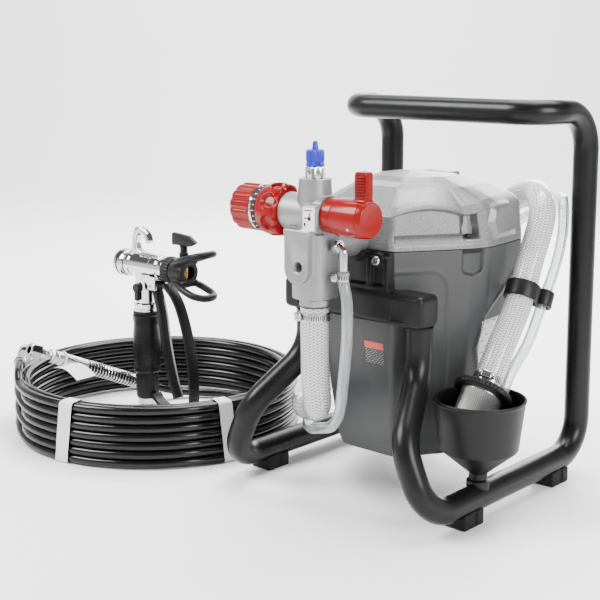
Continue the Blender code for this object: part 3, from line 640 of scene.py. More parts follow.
spring = helix(0.0083, 0.00115, 0.0886, (END_A_STOP - END_A).length - 0.0014, 17)
spring = finish_piece(spring, "spring_guard_wire", "chrome", "pump_unit", COIL + END_A, WAY_A,
                      stands_for=("spring_guard",))
END_B = math.radians(226)
out_b = Vector((math.cos(END_B), math.sin(END_B), 0))
way_b = Vector((out_b.y, -out_b.x, 0))
start_b = COIL + out_b * 0.176 + Vector((0, 0, COIL_TOP + 0.0090))
ribs = [(0.0, 0.0), (0.0066, 0.0), (0.0085, 0.0010)]
for i in range(9):
    z = 0.0030 + i * 0.0036
    ribs += [(0.0085, z), (0.0078, z + 0.0004), (0.0078, z + 0.0014), (0.0085, z + 0.0018)]
ferrule_b = turned([*ribs, (0.0085, 0.0380), (0.0064, 0.0390), (0.0064, 0.0420), (0.0, 0.0420)], 96,
                   crimped(0.0002, 24))
ferrule_b = finish_piece(ferrule_b, "ferrule_b", "steel", "pump_unit", start_b, way_b, 40,
                         ("hose_ferrule_b",))
nut_b = nut_at("swivel_nut_b", "nut_b", start_b + Vector((0, 0, 0.0020)) + way_b * 0.0423, way_b, 0.0177,
               "hose_nut_b")
seal = finish_piece(hoop(0.0053, 0.0091, 0.0, 0.0022, 48), "end_b_dust_ring", "rubber", "pump_unit",
                    start_b + way_b * 0.0385, way_b)
print("fittings made; spring runs", round((END_A_STOP - END_A).length - 0.087, 3), "m")

# %% [markdown]
# ## Paper straps
# Two paper straps hold the ring together. Each goes once around the ring's rectangular
# section, pulled tight over the corners and a little wrinkled, with its end tucked under.
# %% Wrap the straps
def strap(name, angle, width, lap):
    """A strap around the coil's section at an angle, as a closed band with real thickness."""
    inner, outer = LANES[0] - HOSE_R - 0.0007, LANES[1] + HOSE_R + 0.0007
    low, high = 0.0004, COIL_TOP + 0.0007
    corner = 0.0042
    section = bent([((outer, 0, 0.040), 0), ((outer, 0, high), corner), ((inner, 0, high), corner),
                    ((inner, 0, low), corner), ((outer, 0, low), corner), ((outer, 0, 0.040), 0)],
                   math.radians(15))[:-1]
    fine = []
    for a, b in zip(section, section[1:] + section[:1]):
        count = max(1, int((b - a).length / 0.0025))
        fine += [a.lerp(b, i / count) for i in range(count)]
    rings = []
    across = 14
    middle = Vector(((inner + outer) / 2, 0, (low + high) / 2))
    for n, point in enumerate(fine):
        ring = []
        out = Vector((point.x - middle.x, 0, (point.z - middle.z) * 0.25)).normalized()
        for side in (0, 1):
            for i in range(across + 1):
                i = i if side == 0 else across - i
                t = i / across - 0.5
                crease = 0.00022 * math.sin(9 * t + 0.9 * n) + 0.00016 * math.sin(23 * t - 0.5 * n)
                lift = (0.00022 if side == 0 else 0.0) + crease
                skewed = angle + (t * width + lap * (point.z - 0.037)) / 0.172
                spot = point + out * lift
                ring.append(Vector((spot.x * math.cos(skewed), spot.x * math.sin(skewed),
                                    max(0.0001, spot.z))))
        rings.append(ring)
    band = skin("band", rings, closed=True)
    return finish_piece(band, name, "paper", at=COIL, sharp=60)


strap_front = strap("strap_front", math.radians(281), 0.0175, 0.12)
strap_rear = strap("strap_rear", math.radians(345), 0.0165, -0.10)
print("straps wrapped")

# %% [markdown]
# ## Tie and tag at end A
# A thin white tie holds a card tag to the spring guard. The tag carries no lettering.
# %% Hang the tie and tag
tie_at = COIL + END_A + WAY_A * 0.050
loop = [Vector((0.0100 * math.cos(a), 0.0100 * math.sin(a), 0.0004 * math.sin(3 * a)))
        for a in (math.tau * i / 40 for i in range(41))]
tie = finish_piece(sweep(loop, 0.0008, 8), "tag_tie", "paper", at=tie_at, way=WAY_A)
tag_rows = []
for i in range(15):
    t = i / 14
    bend = 0.006 * math.sin(math.pi * t)
    tag_rows.append([Vector((0.055 * t, y, bend + dz)) for y, dz in
                     ((-0.014, 0.0), (0.014, 0.0), (0.014, 0.0003), (-0.014, 0.0003))])
tag = finish_piece(skin("tag", tag_rows), "card_tag", "paper", at=tie_at + Vector((0.010, -0.006, -0.0055)),
                   sharp=60)
tag.rotation_euler = (0.05, 0.10, math.radians(-6))

# %% [markdown]
# ## The tube frame
# One 28 mm steel tube is bent into the whole stand: up from the bracket, out and down to the
# floor, back, up and over to form the carrying handle. Bends are true arcs, as a bender leaves.
# %% Bend the frame
TRACK = 0.136
TUBE_R = 0.014
TUBE_AXIS_Z = 0.024
FRAME_HALF = [((0.076, -0.085, 0.1997), 0), ((0.076, -0.085, 0.150), 0.055), ((0.106, -0.149, 0.092), 0.050),
              ((TRACK, -0.149, TUBE_AXIS_Z), 0.036), ((TRACK, 0.141, TUBE_AXIS_Z), 0.042),
              ((TRACK, 0.141, 0.416), 0.045), ((TRACK, 0.047, 0.416), 0.040)]
other_half = [((-x, y, z), radius) for (x, y, z), radius in reversed(FRAME_HALF)]
frame_tube = sweep(bent(FRAME_HALF + other_half), TUBE_R, 48)
frame_tube = finish_piece(frame_tube, "bent_tube_frame", "painted_tube", at=PUMP, stands_for=("tube_frame",))
for end in FRAME_HALF[0], other_half[-1]:
    x, y, z = end[0]
    plug = turned(softened([(0.0, z - 0.0022), (0.0151, z - 0.0022), (0.0151, z), (0.0, z)]), 48)
    finish_piece(plug, "tube_collar", "rubber", at=PUMP + Vector((x, y, 0)))
print("frame bent from", len(frame_tube.data.vertices), "points")

# %% [markdown]
# ## Rubber feet
# Four notched rubber blocks clip up onto the floor tubes. Each has a saddle for the tube and
# two grooves underneath for grip.
# %% Clip on the feet
def tube_saddle():
    """The round cut that lets a part sit on a floor tube with a little play."""
    return moved(rod(TUBE_R + 0.0006, -0.03, 0.03, 64), (0, 0, TUBE_AXIS_Z), (0, 1, 0))


for side, x in (("right", TRACK), ("left", -TRACK)):
    for end, y in (("front", -0.085), ("rear", 0.085)):
        foot = slab((-0.014, -0.017, 0.0), (0.014, 0.017, 0.017), 0.0018)
        grooves = [slab((-0.02, g - 0.0015, -0.001), (0.02, g + 0.0015, 0.0028)) for g in (-0.0075, 0.0075)]
        waist = [slab((s - 0.0025, -0.0045, -0.001), (s + 0.0025, 0.0045, 0.02)) for s in (-0.0155, 0.0155)]
        foot = carve(foot, [tube_saddle(), *grooves, *waist])
        finish_piece(foot, f"foot_pad_{end}_{side}", "rubber", at=PUMP + Vector((x, y, 0)),
                     stands_for=(f"foot_{end}_{side}",))
print("four feet clipped on")

# %% [markdown]
# ## The housing
# The lower housing is a moulded shell with a many-sided plan that narrows towards the floor.
# It is a skin through plan outlines at many heights, and its panels are pressed in or out.
# A pressed panel needs only a distance to its outline, so each one is a small function.
# %% Lay out the plan
PLAN_FRONT = ((0.0, -0.097, 0.0), 0)
PLAN_HALF_WIDTH = 0.105
PLAN_RIGHT = [((0.047, -0.097), 0.010), ((0.073, -0.060), 0.060), ((0.097, -0.021), 0.022),
              ((0.105, 0.0), 0.020), ((0.102, 0.037), 0.040), ((0.096, 0.079), 0.020),
              ((0.070, 0.100), 0.020)]


def plan_outline(count):
    """Points and outward normals evenly around the plan, from the middle of the front."""
    right = [((x, y, 0), r) for (x, y), r in PLAN_RIGHT]
    left = [((-x, y, 0), r) for (x, y), r in reversed(PLAN_RIGHT)]
    line = bent([PLAN_FRONT, *right, *left, PLAN_FRONT])
    points = paced(line, count)
    normals = []
    for i, point in enumerate(points):
        along = points[(i + 1) % count] - points[i - 1]
        normals.append(Vector((along.y, -along.x, 0)).normalized())
    return points, normals, length_of(line)


PLAN_POINTS, PLAN_NORMALS, PLAN_RUN = plan_outline(540)
print("plan is", round(PLAN_RUN, 3), "m around")


def pressed(distance, soft):
    """1 inside an outline, 0 outside, eased over a soft edge."""
    return eased(0.5 - distance / soft)


def box_distance(x, y, low, high, corner=0.0):
    """How far a spot is outside a rounded box; inside it is negative."""
    dx = abs(x - (low[0] + high[0]) / 2) - (high[0] - low[0]) / 2 + corner
    dy = abs(y - (low[1] + high[1]) / 2) - (high[1] - low[1]) / 2 + corner
    return math.hypot(max(dx, 0), max(dy, 0)) + min(max(dx, dy), 0) - corner


def fine_levels(levels, soft, spacing):
    """Many (height, scale) levels along a profile with softened corners."""
    profile = softened([(scale * PLAN_HALF_WIDTH, height) for height, scale in levels], soft, 6)
    made = []
    for (r0, z0), (r1, z1) in zip(profile, profile[1:]):
        count = max(1, round(math.hypot(r1 - r0, z1 - z0) / spacing))
        made += [(z0 + (z1 - z0) * i / count, (r0 + (r1 - r0) * i / count) / PLAN_HALF_WIDTH)
                 for i in range(count)]
    return made + [(profile[-1][1], profile[-1][0] / PLAN_HALF_WIDTH)]


def moulded(levels, relief, lift=None, **caps):
    """A shell through the plan at each level, pushed out by relief(s, z) and raised by lift(s, z).

    s is the distance around the plan from the middle of the front, and negative on the left.
    """
    rings = []
    for height, scale in levels:
        ring = []
        for i, (point, normal) in enumerate(zip(PLAN_POINTS, PLAN_NORMALS)):
            s = PLAN_RUN * i / len(PLAN_POINTS)
            s = s - PLAN_RUN if s > PLAN_RUN / 2 else s
            push = relief(s, height)
            up = lift(s, height) if lift else 0.0
            ring.append(Vector((point.x * scale, point.y * scale, height + up)) + normal * push)
        rings.append(ring)
    return skin("moulded", rings, **caps)


# %% [markdown]
# ## Lower housing panels
# An arch stands proud around the bracket arm and the riser tube. The side has a sunken panel
# whose upper edge sweeps down towards the front, and a pocket under each cover screw.
# %% Mould the lower housing
WALL = 0.0025


def walled(obj):
    """Give a moulded skin the wall of a real moulding."""
    shell = obj.modifiers.new("wall", "SOLIDIFY")
    shell.thickness = WALL
    return obj


def housing_relief(s, z):
    """How far the housing's skin stands out or in at a spot."""
    s = abs(s)
    arch = box_distance(s, z, (-0.112, -0.2), (0.112, 0.254), 0.022)
    push = 0.0006 * math.exp(-(arch / 0.0022) ** 2) - 0.0006 * pressed(arch + 0.003, 0.003)
    sweep_line = (z - 0.205) - 0.62 * (s - 0.170)
    panel = max(sweep_line * 0.85, 0.152 - s + 0.25 * abs(z - 0.165), s - 0.262, 0.072 - z)
    push -= 0.0028 * pressed(panel, 0.004)
    push += 0.0008 * math.exp(-((panel - 0.004) / 0.0025) ** 2)
    pocket = box_distance(s, z, (0.127, 0.246 + 0.3 * abs(s - 0.139)), (0.151, 0.30), 0.004)
    push -= 0.0045 * pressed(pocket, 0.003)
    band = box_distance(s, z, (0.255, 0.075), (0.36, 0.235), 0.012)
    push -= 0.0015 * pressed(band, 0.003)
    return push


levels = [(0.0450, 0.70), (0.0452, 0.755), (0.0600, 0.82), (0.120, 0.91), (0.190, 0.97), (0.2740, 1.0),
          (0.2747, 0.996)]
housing = moulded(fine_levels(levels, 0.003, 0.0016), housing_relief, high_cap=False)
housing = walled(finish_piece(housing, "lower_housing", "housing_plastic", at=PUMP, sharp=50,
                              stands_for=("motor_housing",)))
# A black band just inside the seam between housing and cover: painted shade showing through the gap.
seam_shadow_band = moulded([(0.2700, 0.975), (0.2790, 0.975)], lambda s, z: 0.0, low_cap=False, high_cap=False)
finish_piece(seam_shadow_band, "seam_shadow_band", "dark", at=PUMP)
print("housing moulded with", len(housing.data.vertices), "points")

# %% [markdown]
# ## Cover panels
# The silver cover has a crisp shoulder, a large upright facet on each front corner above a
# sloping ledge, a scooped notch for each screw and a raised facet towards the back.
# %% Mould the cover
def held(value, width):
    """A straight ramp from 0 to 1 over a width."""
    return min(max(value / width, 0.0), 1.0)


def cover_relief(s, z):
    """The front facet and its ledge, the screw notch, the raised facet and the rear panel."""
    s = abs(s)
    push = -0.0085 * held(s - 0.0490, 0.0030) * held(0.1300 - s, 0.0030) * held(z - 0.2830, 0.0075)
    push *= held(0.3112 - z, 0.0030)
    notch = max(abs(s - 0.1368) - 0.0092 + 0.10 * (z - 0.2862), 0.2862 - z, z - 0.3104)
    push = min(push, -0.0108 * pressed(notch, 0.0030))
    raised = max(box_distance(s, z, (0.152, 0.287), (0.226, 0.3105), 0.002),
                 0.162 - s + 0.55 * abs(z - 0.300), s - 0.214 + 0.45 * (z - 0.287))
    push += 0.0050 * held(0.004 - raised, 0.0065)
    rear = box_distance(s, z, (0.245, 0.288), (0.36, 0.3060), 0.005)
    push -= 0.0016 * pressed(rear, 0.003)
    return push - 0.0004 * math.exp(-((z - 0.2815) / 0.0008) ** 2)


def cover_lift(s, z):
    """The shoulder arches over the front facets and climbs towards the back."""
    s = abs(s)
    arch = max(0.0, 1 - ((s - 0.088) / 0.042) ** 2)
    rise = 0.0075 * arch + 0.0080 * held(s - 0.140, 0.040)
    return rise * held(z - 0.2920, 0.017) * held(0.3400 - z, 0.025)


levels = [(0.2753, 0.996), (0.2758, 1.0), (0.2830, 0.998), (0.3112, 0.968), (0.3200, 0.885), (0.3360, 0.66),
          (0.3460, 0.40), (0.3500, 0.05)]
cover = moulded(fine_levels(levels, 0.0010, 0.0010), cover_relief, cover_lift, low_cap=False)
cover = walled(finish_piece(cover, "silver_cover", "cover_plastic", at=PUMP, sharp=24,
                            stands_for=("top_cover",)))
tab = slab((-0.020, 0.044, 0.330), (0.020, 0.066, 0.3462), 0.003, 4)
finish_piece(tab, "cover_tab", "cover_plastic", at=PUMP)
print("cover moulded with", len(cover.data.vertices), "points")

# %% [markdown]
# ## Socket-head screws
# A black screw sits in each notch and holds the cover down. The same head, in bright steel,
# bolts the pump bracket on.
# %% Drive in the cover screws
def screw_head(name, radius, height, socket, look, body, at, way):
    """A socket head: a rounded disc with a hexagon sunk into it."""
    outer = turned(softened([(0.0, 0.0), (radius, 0.0), (radius, height * 0.7), (radius * 0.8, height),
                             (0.0, height)], radius * 0.12), 40)
    outer = carve(outer, [turned([(socket, height * 0.35), (socket, height * 1.2)], 6)])
    return finish_piece(outer, name, look, body, at, way)


for side in (1, -1):
    screw_head("cover_screw", 0.0042, 0.0034, 0.0018, "dark", "pump_unit",
               PUMP + Vector((0.0905 * side, -0.0195, 0.2868)), (0, 0, 1))
print("two cover screws in")

# %% [markdown]
# ## The mounting bracket
# One painted casting joins the pump head, the housing and the frame. A ribbed upright plate
# carries the head, and a cross beam ends in two rounded sockets over the riser tubes. Melting
# the solids together first gives the fillets of a casting; the machined faces are cut after.
# %% Cast the bracket
HEAD_Y = -0.162
VALVE_Z = 0.318
PISTON_Z = 0.285
BOLTS = [(x, z) for x in (-0.0345, 0.0345) for z in (0.2100, 0.2660)]


def housing_block(levels, margin):
    """A solid in the shape of the housing, a little larger, for cutting its seat."""
    rings = [[Vector((p.x * s, p.y * s, z)) + n * margin for p, n in zip(PLAN_POINTS[::4], PLAN_NORMALS[::4])]
             for z, s in levels]
    return skin("block", rings)


beam = slab((-0.0945, -0.1078, 0.2002), (0.0945, -0.0742, 0.2348), 0.0065, 4)
upright = slab((-0.0495, -0.1000, 0.2020), (0.0495, -0.0700, 0.2800), 0.0030)
ribs = [slab((x - 0.0035, -0.1040, 0.2060), (x + 0.0035, -0.0950, 0.2700), 0.0015) for x in
        (-0.0455, -0.0235, 0.0235, 0.0455)]
ledge = slab((-0.0490, -0.1045, 0.2330), (0.0490, -0.0950, 0.2395), 0.0015)
boss = moved(rod(0.0240, 0.0, 0.012), (0, -0.0935, PISTON_Z), (0, -1, 0))
pads = [moved(rod(0.0075, 0.0, 0.009), (x, -0.0945, z), (0, -1, 0)) for x, z in BOLTS]
bracket = cast([beam, upright, *ribs, ledge, boss, *pads], 0.00085, 3)
panels = [slab((x - 0.0090, -0.1100, 0.2060), (x + 0.0090, -0.1062, 0.2290), 0.0012) for x in (-0.064, 0.064)]
seat = housing_block([(0.15, 0.945), (0.190, 0.97), (0.290, 1.005)], 0.0008)
piston_way = moved(rod(0.0186, -0.03, 0.03), (0, -0.1, PISTON_Z), (0, 1, 0))
over = slab((-0.2, -0.2, 0.2747), (0.2, 0.0, 0.4))
bracket = carve(bracket, [seat, piston_way, over, *panels])
bracket = finish_piece(bracket, "cast_bracket", "cast_black", at=PUMP, sharp=60,
                       stands_for=("mounting_bracket",))
for x, z in BOLTS:
    screw_head("bracket_bolt", 0.0050, 0.0042, 0.0024, "steel", "pump_unit",
               PUMP + Vector((x, -0.1034, z)), (0, -1, 0))
hook_route = bent([((-0.0503, -0.099, 0.266), 0), ((-0.074, -0.099, 0.266), 0.016),
                   ((-0.108, -0.120, 0.268), 0.012), ((-0.086, -0.098, 0.250), 0.010),
                   ((-0.086, -0.098, 0.2353), 0)])
finish_piece(sweep(hook_route, 0.0045, 24), "cord_hook_rod", "painted_tube", at=PUMP,
             stands_for=("cord_hook",))
print("bracket cast with", len(bracket.data.vertices), "points")

# %% [markdown]
# ## The pump manifold
# The head is sand cast in aluminium and blasted, then bored and faced. A tapered neck takes
# the hose outlet, a cross boss takes the two valves, and the flat pad in front has a port.
# %% Cast the manifold
def head(obj):
    """Stand a solid on the pump head's upright axis."""
    return moved(obj, (0, HEAD_Y, 0))


trunk = head(rod(0.0232, 0.2310, 0.2990, 64, 0.0236))
neck = head(rod(0.0206, 0.2900, 0.3555, 64, 0.0164))
cross = moved(rod(0.0198, -0.0355, 0.0212), (0, HEAD_Y, VALVE_Z), (1, 0, 0))
barrel = moved(rod(0.0178, 0.0, 0.0670), (0, HEAD_Y, PISTON_Z), (0, 1, 0))
pad = slab((-0.0180, -0.0285, 0.2640), (0.0140, 0.0, 0.3020), 0.0010)
pad_end = moved(rod(0.0160, 0.0, 0.0285), (-0.0020, 0, 0.2640), (0, -1, 0))
shelf = slab((-0.0205, -0.0262, 0.2975), (0.0150, 0.0, 0.3040), 0.0012)
cheek = slab((0.0010, -0.0220, 0.3010), (0.0210, 0.0, 0.3300), 0.0030)
brow = slab((-0.0300, -0.0185, 0.3040), (0.0000, 0.0, 0.3260), 0.0060)
web = slab((-0.0030, 0.0, 0.2400), (0.0030, 0.0450, 0.2750), 0.0010)
manifold = cast([trunk, neck, cross, barrel, *map(head, (pad, pad_end, shelf, cheek, brow, web))],
                0.00062, 5)
faces = [slab((-0.1, -0.30, 0.3540), (0.1, 0.0, 0.42)), slab((-0.1, -0.30, 0.20), (0.1, 0.0, 0.2320)),
         slab((0.0197, -0.30, 0.20), (0.1, -0.11, 0.42)), slab((-0.1, -0.30, 0.30), (-0.0340, -0.11, 0.42)),
         slab((-0.1, -0.30, 0.20), (0.1, -0.1890, 0.42)), slab((-0.1, -0.0965, 0.20), (0.1, 0.1, 0.42))]
bores = [head(rod(0.0070, 0.20, 0.318)), head(rod(0.0035, 0.31, 0.334)), head(rod(0.0070, 0.3268, 0.40)),
         moved(rod(0.0066, -0.05, 0.05), (0, HEAD_Y, VALVE_Z), (1, 0, 0)),
         moved(rod(0.0093, -0.003, 0.09), (0, HEAD_Y, PISTON_Z), (0, 1, 0)),
         moved(rod(0.0050, 0.0, 0.05), (0, HEAD_Y, 0.266), (0, -1, 0)),
         moved(rod(0.0050, 0.0256, 0.0290, 48, 0.0084), (0, HEAD_Y, 0.266), (0, -1, 0))]
manifold = carve(manifold, [*faces, *bores])
manifold = finish_piece(manifold, "cast_manifold", "cast_aluminium", at=PUMP, sharp=50,
                        stands_for=("pump_manifold",))
print("manifold cast with", len(manifold.data.vertices), "points")

# %% [markdown]
# ## Inlet, outlet and blue cap
# The inlet barb has a hexagon flange. The outlet is a plated hexagon fitting with a rolled
# thread, closed for shipping by a ribbed blue cap with a slim nipple.
# %% Turn the fittings
PUMP_HEAD = PUMP + Vector((0, HEAD_Y, 0))
barb = turned([(0.0040, 0.2380), (0.0066, 0.2380), (0.0066, 0.2317), (0.0120, 0.2317), (0.0165, 0.2300),
               (0.0165, 0.2240), (0.0135, 0.2221), (0.0040, 0.2221), (0.0040, 0.2380)], 96, hexed(0.0300))
finish_piece(barb, "inlet_flange", "cast_aluminium", at=PUMP_HEAD, sharp=30, stands_for=("inlet_barb",))


def threaded(root, crest, pitch, low, high, profile_wave=None):
    """A wave that rolls a thread between two heights."""
    def roll(angle, radius, height):
        if low <= height <= high and radius > root:
            turn = (height / pitch - angle / math.tau) % 1.0
            return root + (crest - root) * min(1.0, 2.6 * min(turn, 1 - turn))
        return profile_wave(angle, radius, height) if profile_wave else radius
    return roll


hexagon = hexed(0.0182)
thread_z = [0.3664 + i * 0.00022 for i in range(int(0.0124 / 0.00022))]
outlet = turned([(0.0030, 0.3400), (0.0066, 0.3400), (0.0066, 0.3543), (0.0090, 0.3543), (0.0105, 0.3552),
                 (0.0105, 0.3648), (0.0090, 0.3660), (0.0066, 0.3661), *[(0.0067, z) for z in thread_z],
                 (0.0055, 0.3790), (0.0030, 0.3790), (0.0030, 0.3400)], 96,
                threaded(0.0059, 0.0067, 0.0014, 0.3663, 0.3788, hexagon))
finish_piece(outlet, "outlet_hexagon", "chrome", at=PUMP_HEAD, sharp=30, stands_for=("outlet_fitting",))


def ribbed(count, depth, above, limit=1e9, power=2):
    """A wave of rounded ribs wherever the radius is above a limit."""
    def rib(angle, radius, height):
        if radius < above or height > limit:
            return radius
        return radius - depth * (0.5 + 0.5 * math.cos(count * angle)) ** power
    return rib


cap_profile = [(0.0, 0.3920), (0.0018, 0.3918), (0.0027, 0.3905), (0.0031, 0.3860), (0.0034, 0.3838),
               (0.0080, 0.3834), (0.0095, 0.3818), (0.0095, 0.3722), (0.0089, 0.3716), (0.0089, 0.3700),
               (0.0095, 0.3694), (0.0095, 0.3672), (0.0092, 0.3665), (0.0073, 0.3665), (0.0073, 0.3795),
               (0.0, 0.3795)]
cap = turned(cap_profile[::-1], 144, ribbed(18, 0.0007, 0.0088))
finish_piece(cap, "blue_shipping_cap", "blue_plastic", "cap", PUMP_HEAD, sharp=40, stands_for=("outlet_cap",))
print("fittings turned")

# %% [markdown]
# ## The pressure control
# A fixed red collar with sunken lens-shaped windows carries the red fluted knob. Between them
# runs a black and silver scale band, with plain tick marks.
# %% Mould the pressure control
COLLAR = PUMP_HEAD + Vector((-0.0343, 0, VALVE_Z))
KNOB = PUMP_HEAD + Vector((-0.0621, 0, VALVE_Z))


def windows(angle, radius, height):
    """Seven lens-shaped hollows around the collar, each with a slight rim."""
    if radius < 0.0225:
        return radius
    part = ((angle / math.tau * 7) % 1.0 - 0.5) * math.tau / 7 * 0.027
    lens = (part / 0.0092) ** 2 + ((height - 0.0100) / 0.0088) ** 2
    rim = 0.0003 * math.exp(-((lens - 1.05) / 0.14) ** 2)
    return radius - 0.0042 * eased((1.0 - lens) * 2.2) + rim * (radius > 0.024)


heights = [0.0040 + 0.0006 * i for i in range(35)]
collar_profile = [(0.0066, 0.0), (0.0205, 0.0), (0.0225, 0.0008), (0.0262, 0.0025),
                  *[(0.0270 + 0.0010 * math.sin(math.pi * (z - 0.004) / 0.02), z) for z in heights[:-1]],
                  (0.0262, 0.0256), (0.0250, 0.0275), (0.0066, 0.0275), (0.0066, 0.0)]
collar = turned(collar_profile, 224, windows)
finish_piece(collar, "pressure_collar_shell", "red_plastic", "pump_unit", COLLAR, (-1, 0, 0), 55,
             ("pressure_collar",))


def flutes(angle, radius, height):
    """Fourteen finger flutes that fade out towards the scale band."""
    if radius < 0.0235 or height < 0.0095:
        return radius
    return radius - 0.0016 * (0.5 + 0.5 * math.cos(14 * angle)) ** 3 * eased((height - 0.0095) / 0.003)


knob_z = [0.0092 + 0.0008 * i for i in range(31)]
knob_profile = [(0.0, -0.0310), (0.0060, -0.0310), (0.0060, 0.0), (0.0245, 0.0), (0.0245, 0.0004),
                (0.0243, 0.0084), (0.0250, 0.0088), *[(0.0250, z) for z in knob_z], (0.0247, 0.0350),
                (0.0240, 0.0368), (0.0222, 0.0379), (0.0205, 0.0380), (0.0196, 0.0372), (0.0090, 0.0370),
                (0.0, 0.0373)]
finish_piece(turned(knob_profile, 224, flutes), "pressure_knob_body", "red_plastic", "knob", KNOB,
             (-1, 0, 0), 50, ("pressure_knob",))
finish_piece(hoop(0.0244, 0.0249, 0.0006, 0.0056, 128), "scale_band", "dark", "knob", KNOB, (-1, 0, 0))
finish_piece(hoop(0.0244, 0.0250, 0.0058, 0.0084, 128), "scale_edge", "chrome", "knob", KNOB, (-1, 0, 0))
ticks = []
for i in range(26):
    reach = 0.0040 if i % 3 == 0 else 0.0024
    tick = slab((0.0248, -0.0004, 0.0010), (0.02515, 0.0004, 0.0010 + reach))
    ticks.append(spun(tick, math.tau * i / 26))
finish_piece(as_one(ticks), "scale_ticks", "paper", "knob", KNOB, (-1, 0, 0))
print("pressure control moulded")

# %% [markdown]
# ## The prime valve
# A red ring on the head carries a glossy turning cylinder. Its upright tab has moulded ridges
# on the front, and one dimple marks the seam.
# %% Mould the prime valve
base_profile = softened([(0.0056, 0.0), (0.0172, 0.0), (0.0180, 0.0020), (0.0180, 0.0125), (0.0174, 0.0135),
                         (0.0056, 0.0135), (0.0056, 0.0)], 0.0006)
finish_piece(turned(base_profile, 96), "prime_ring", "red_plastic", "pump_unit",
             PUMP_HEAD + Vector((0.0200, 0, VALVE_Z)), (1, 0, 0), 40, ("prime_valve_base",))
LEVER = PUMP_HEAD + Vector((0.0338, 0, VALVE_Z))
drum = turned(softened([(0.0, -0.0200), (0.0050, -0.0200), (0.0050, 0.0), (0.0188, 0.0), (0.0195, 0.0008),
                        (0.0195, 0.0325), (0.0190, 0.0330), (0.0192, 0.0336), (0.0195, 0.0340),
                        (0.0182, 0.0388), (0.0168, 0.0400), (0.0150, 0.0394), (0.0060, 0.0388),
                        (0.0, 0.0388)], 0.0005), 128)
drum = moved(drum, way=(1, 0, 0))
tab_outline = [(0.0222, 0.010), (0.0368, 0.010), (0.0368, 0.0400)]
for middle, start in ((0.0338, 0), (0.0252, 90)):
    tab_outline += [(middle + 0.0030 * math.cos(a), 0.0440 + 0.0030 * math.sin(a)) for a in
                    (math.radians(start + 15 * i) for i in range(7))]
tab = plate(tab_outline, 0.0116, 0.0010)
ridges = [slab((0.0236, -0.0080, 0.0222 + 0.0028 * i), (0.0354, -0.0050, 0.0235 + 0.0028 * i), 0.0004, 2)
          for i in range(8)]
foot = slab((0.0205, -0.0075, 0.0120), (0.0378, 0.0075, 0.0202), 0.0025)
finish_piece(as_one([drum, tab, foot, *ridges]), "prime_drum_and_tab", "red_plastic", "lever", LEVER,
             sharp=40, stands_for=("prime_lever",))
dimple = turned([(0.0, 0.0), (0.0013, 0.0), (0.0016, 0.0004), (0.0011, 0.0006), (0.0, 0.0004)], 20)
finish_piece(dimple, "prime_dimple", "steel", "lever", LEVER + Vector((0.0235, -0.0172, -0.0090)),
             (0, -0.0172, -0.0090))
print("prime valve moulded")

# %% [markdown]
# ## Return elbow and worm clamps
# A plated elbow leads down from the prime valve. Each hose end is held by a worm clamp: a
# slotted steel band, and a screw lying across it in a pressed housing.
# %% Fit the elbow and clamps
elbow = sweep(bent([((0.0245, -0.158, 0.2865), 0), ((0.0345, -0.158, 0.2865), 0.007),
                    ((0.0345, -0.158, 0.2625), 0)]), 0.0045, 32)
finish_piece(elbow, "return_elbow", "chrome", at=PUMP, stands_for=("return_barb",))
elbow_nut = turned([(0.0046, 0.0), (0.0068, 0.0), (0.0075, 0.0008), (0.0075, 0.0045), (0.0068, 0.0053),
                    (0.0046, 0.0053), (0.0046, 0.0)], 72, hexed(0.0132))
finish_piece(elbow_nut, "return_elbow_nut", "chrome", at=PUMP + Vector((0.0250, -0.158, 0.2865)),
             way=(1, 0, 0), sharp=30)


def worm_clamp(name, at, way, radius, width, screw_turn):
    """A slotted band around a hose with its screw housing at an angle around it."""
    r = radius + 0.0008
    band = hoop(radius + 0.0001, r, -width / 2, width / 2, 120, 0.0003)
    count = round(math.tau * radius / 0.0023)
    # The band's slots are thin black slabs laid on it: painted shade in the holes of the band.
    slot_shades = [spun(slab((r - 0.0002, -0.00055, -width * 0.27), (r + 0.00008, 0.00055, width * 0.27)),
                  math.tau * (i + 0.5) / count) for i in range(count)]
    finish_piece(as_one(slot_shades), name + "_slots", "dark", "pump_unit", at, way, 30)
    shell = slab((r - 0.0006, -0.0058, -width * 0.46), (r + 0.0052, 0.0058, width * 0.46), 0.0014)
    worm_profile = softened([(0.0, -0.0085), (0.0022, -0.0085), (0.0022, 0.0055), (0.0034, 0.0060),
                             (0.0034, 0.0086), (0.0, 0.0090)], 0.0004)
    worm = moved(turned(worm_profile, 36, ribbed(12, 0.0003, 0.0030)), (r + 0.0030, 0, 0), (0, 1, 0))
    worm = carve(worm, [slab((r + 0.0001, 0.0082, -0.0005), (r + 0.0060, 0.0098, 0.0005))])
    lap = slab((r - 0.0002, -0.0095, -width * 0.34), (r + 0.0008, -0.0055, width * 0.34), 0.0003, 1)
    parts = as_one([band, shell, worm, lap])
    finish_piece(spun(parts, screw_turn), name, "steel", "pump_unit", at, way, 30)


worm_clamp("suction_clamp_top", PUMP + Vector((0, HEAD_Y, 0.2120)), (0, 0, 1), 0.0151, 0.0090,
           math.radians(52))
worm_clamp("return_clamp", PUMP + Vector((0.0345, -0.158, 0.2560)), (0, 0, 1), 0.0062, 0.0080,
           math.radians(45))
print("elbow and two clamps fitted")

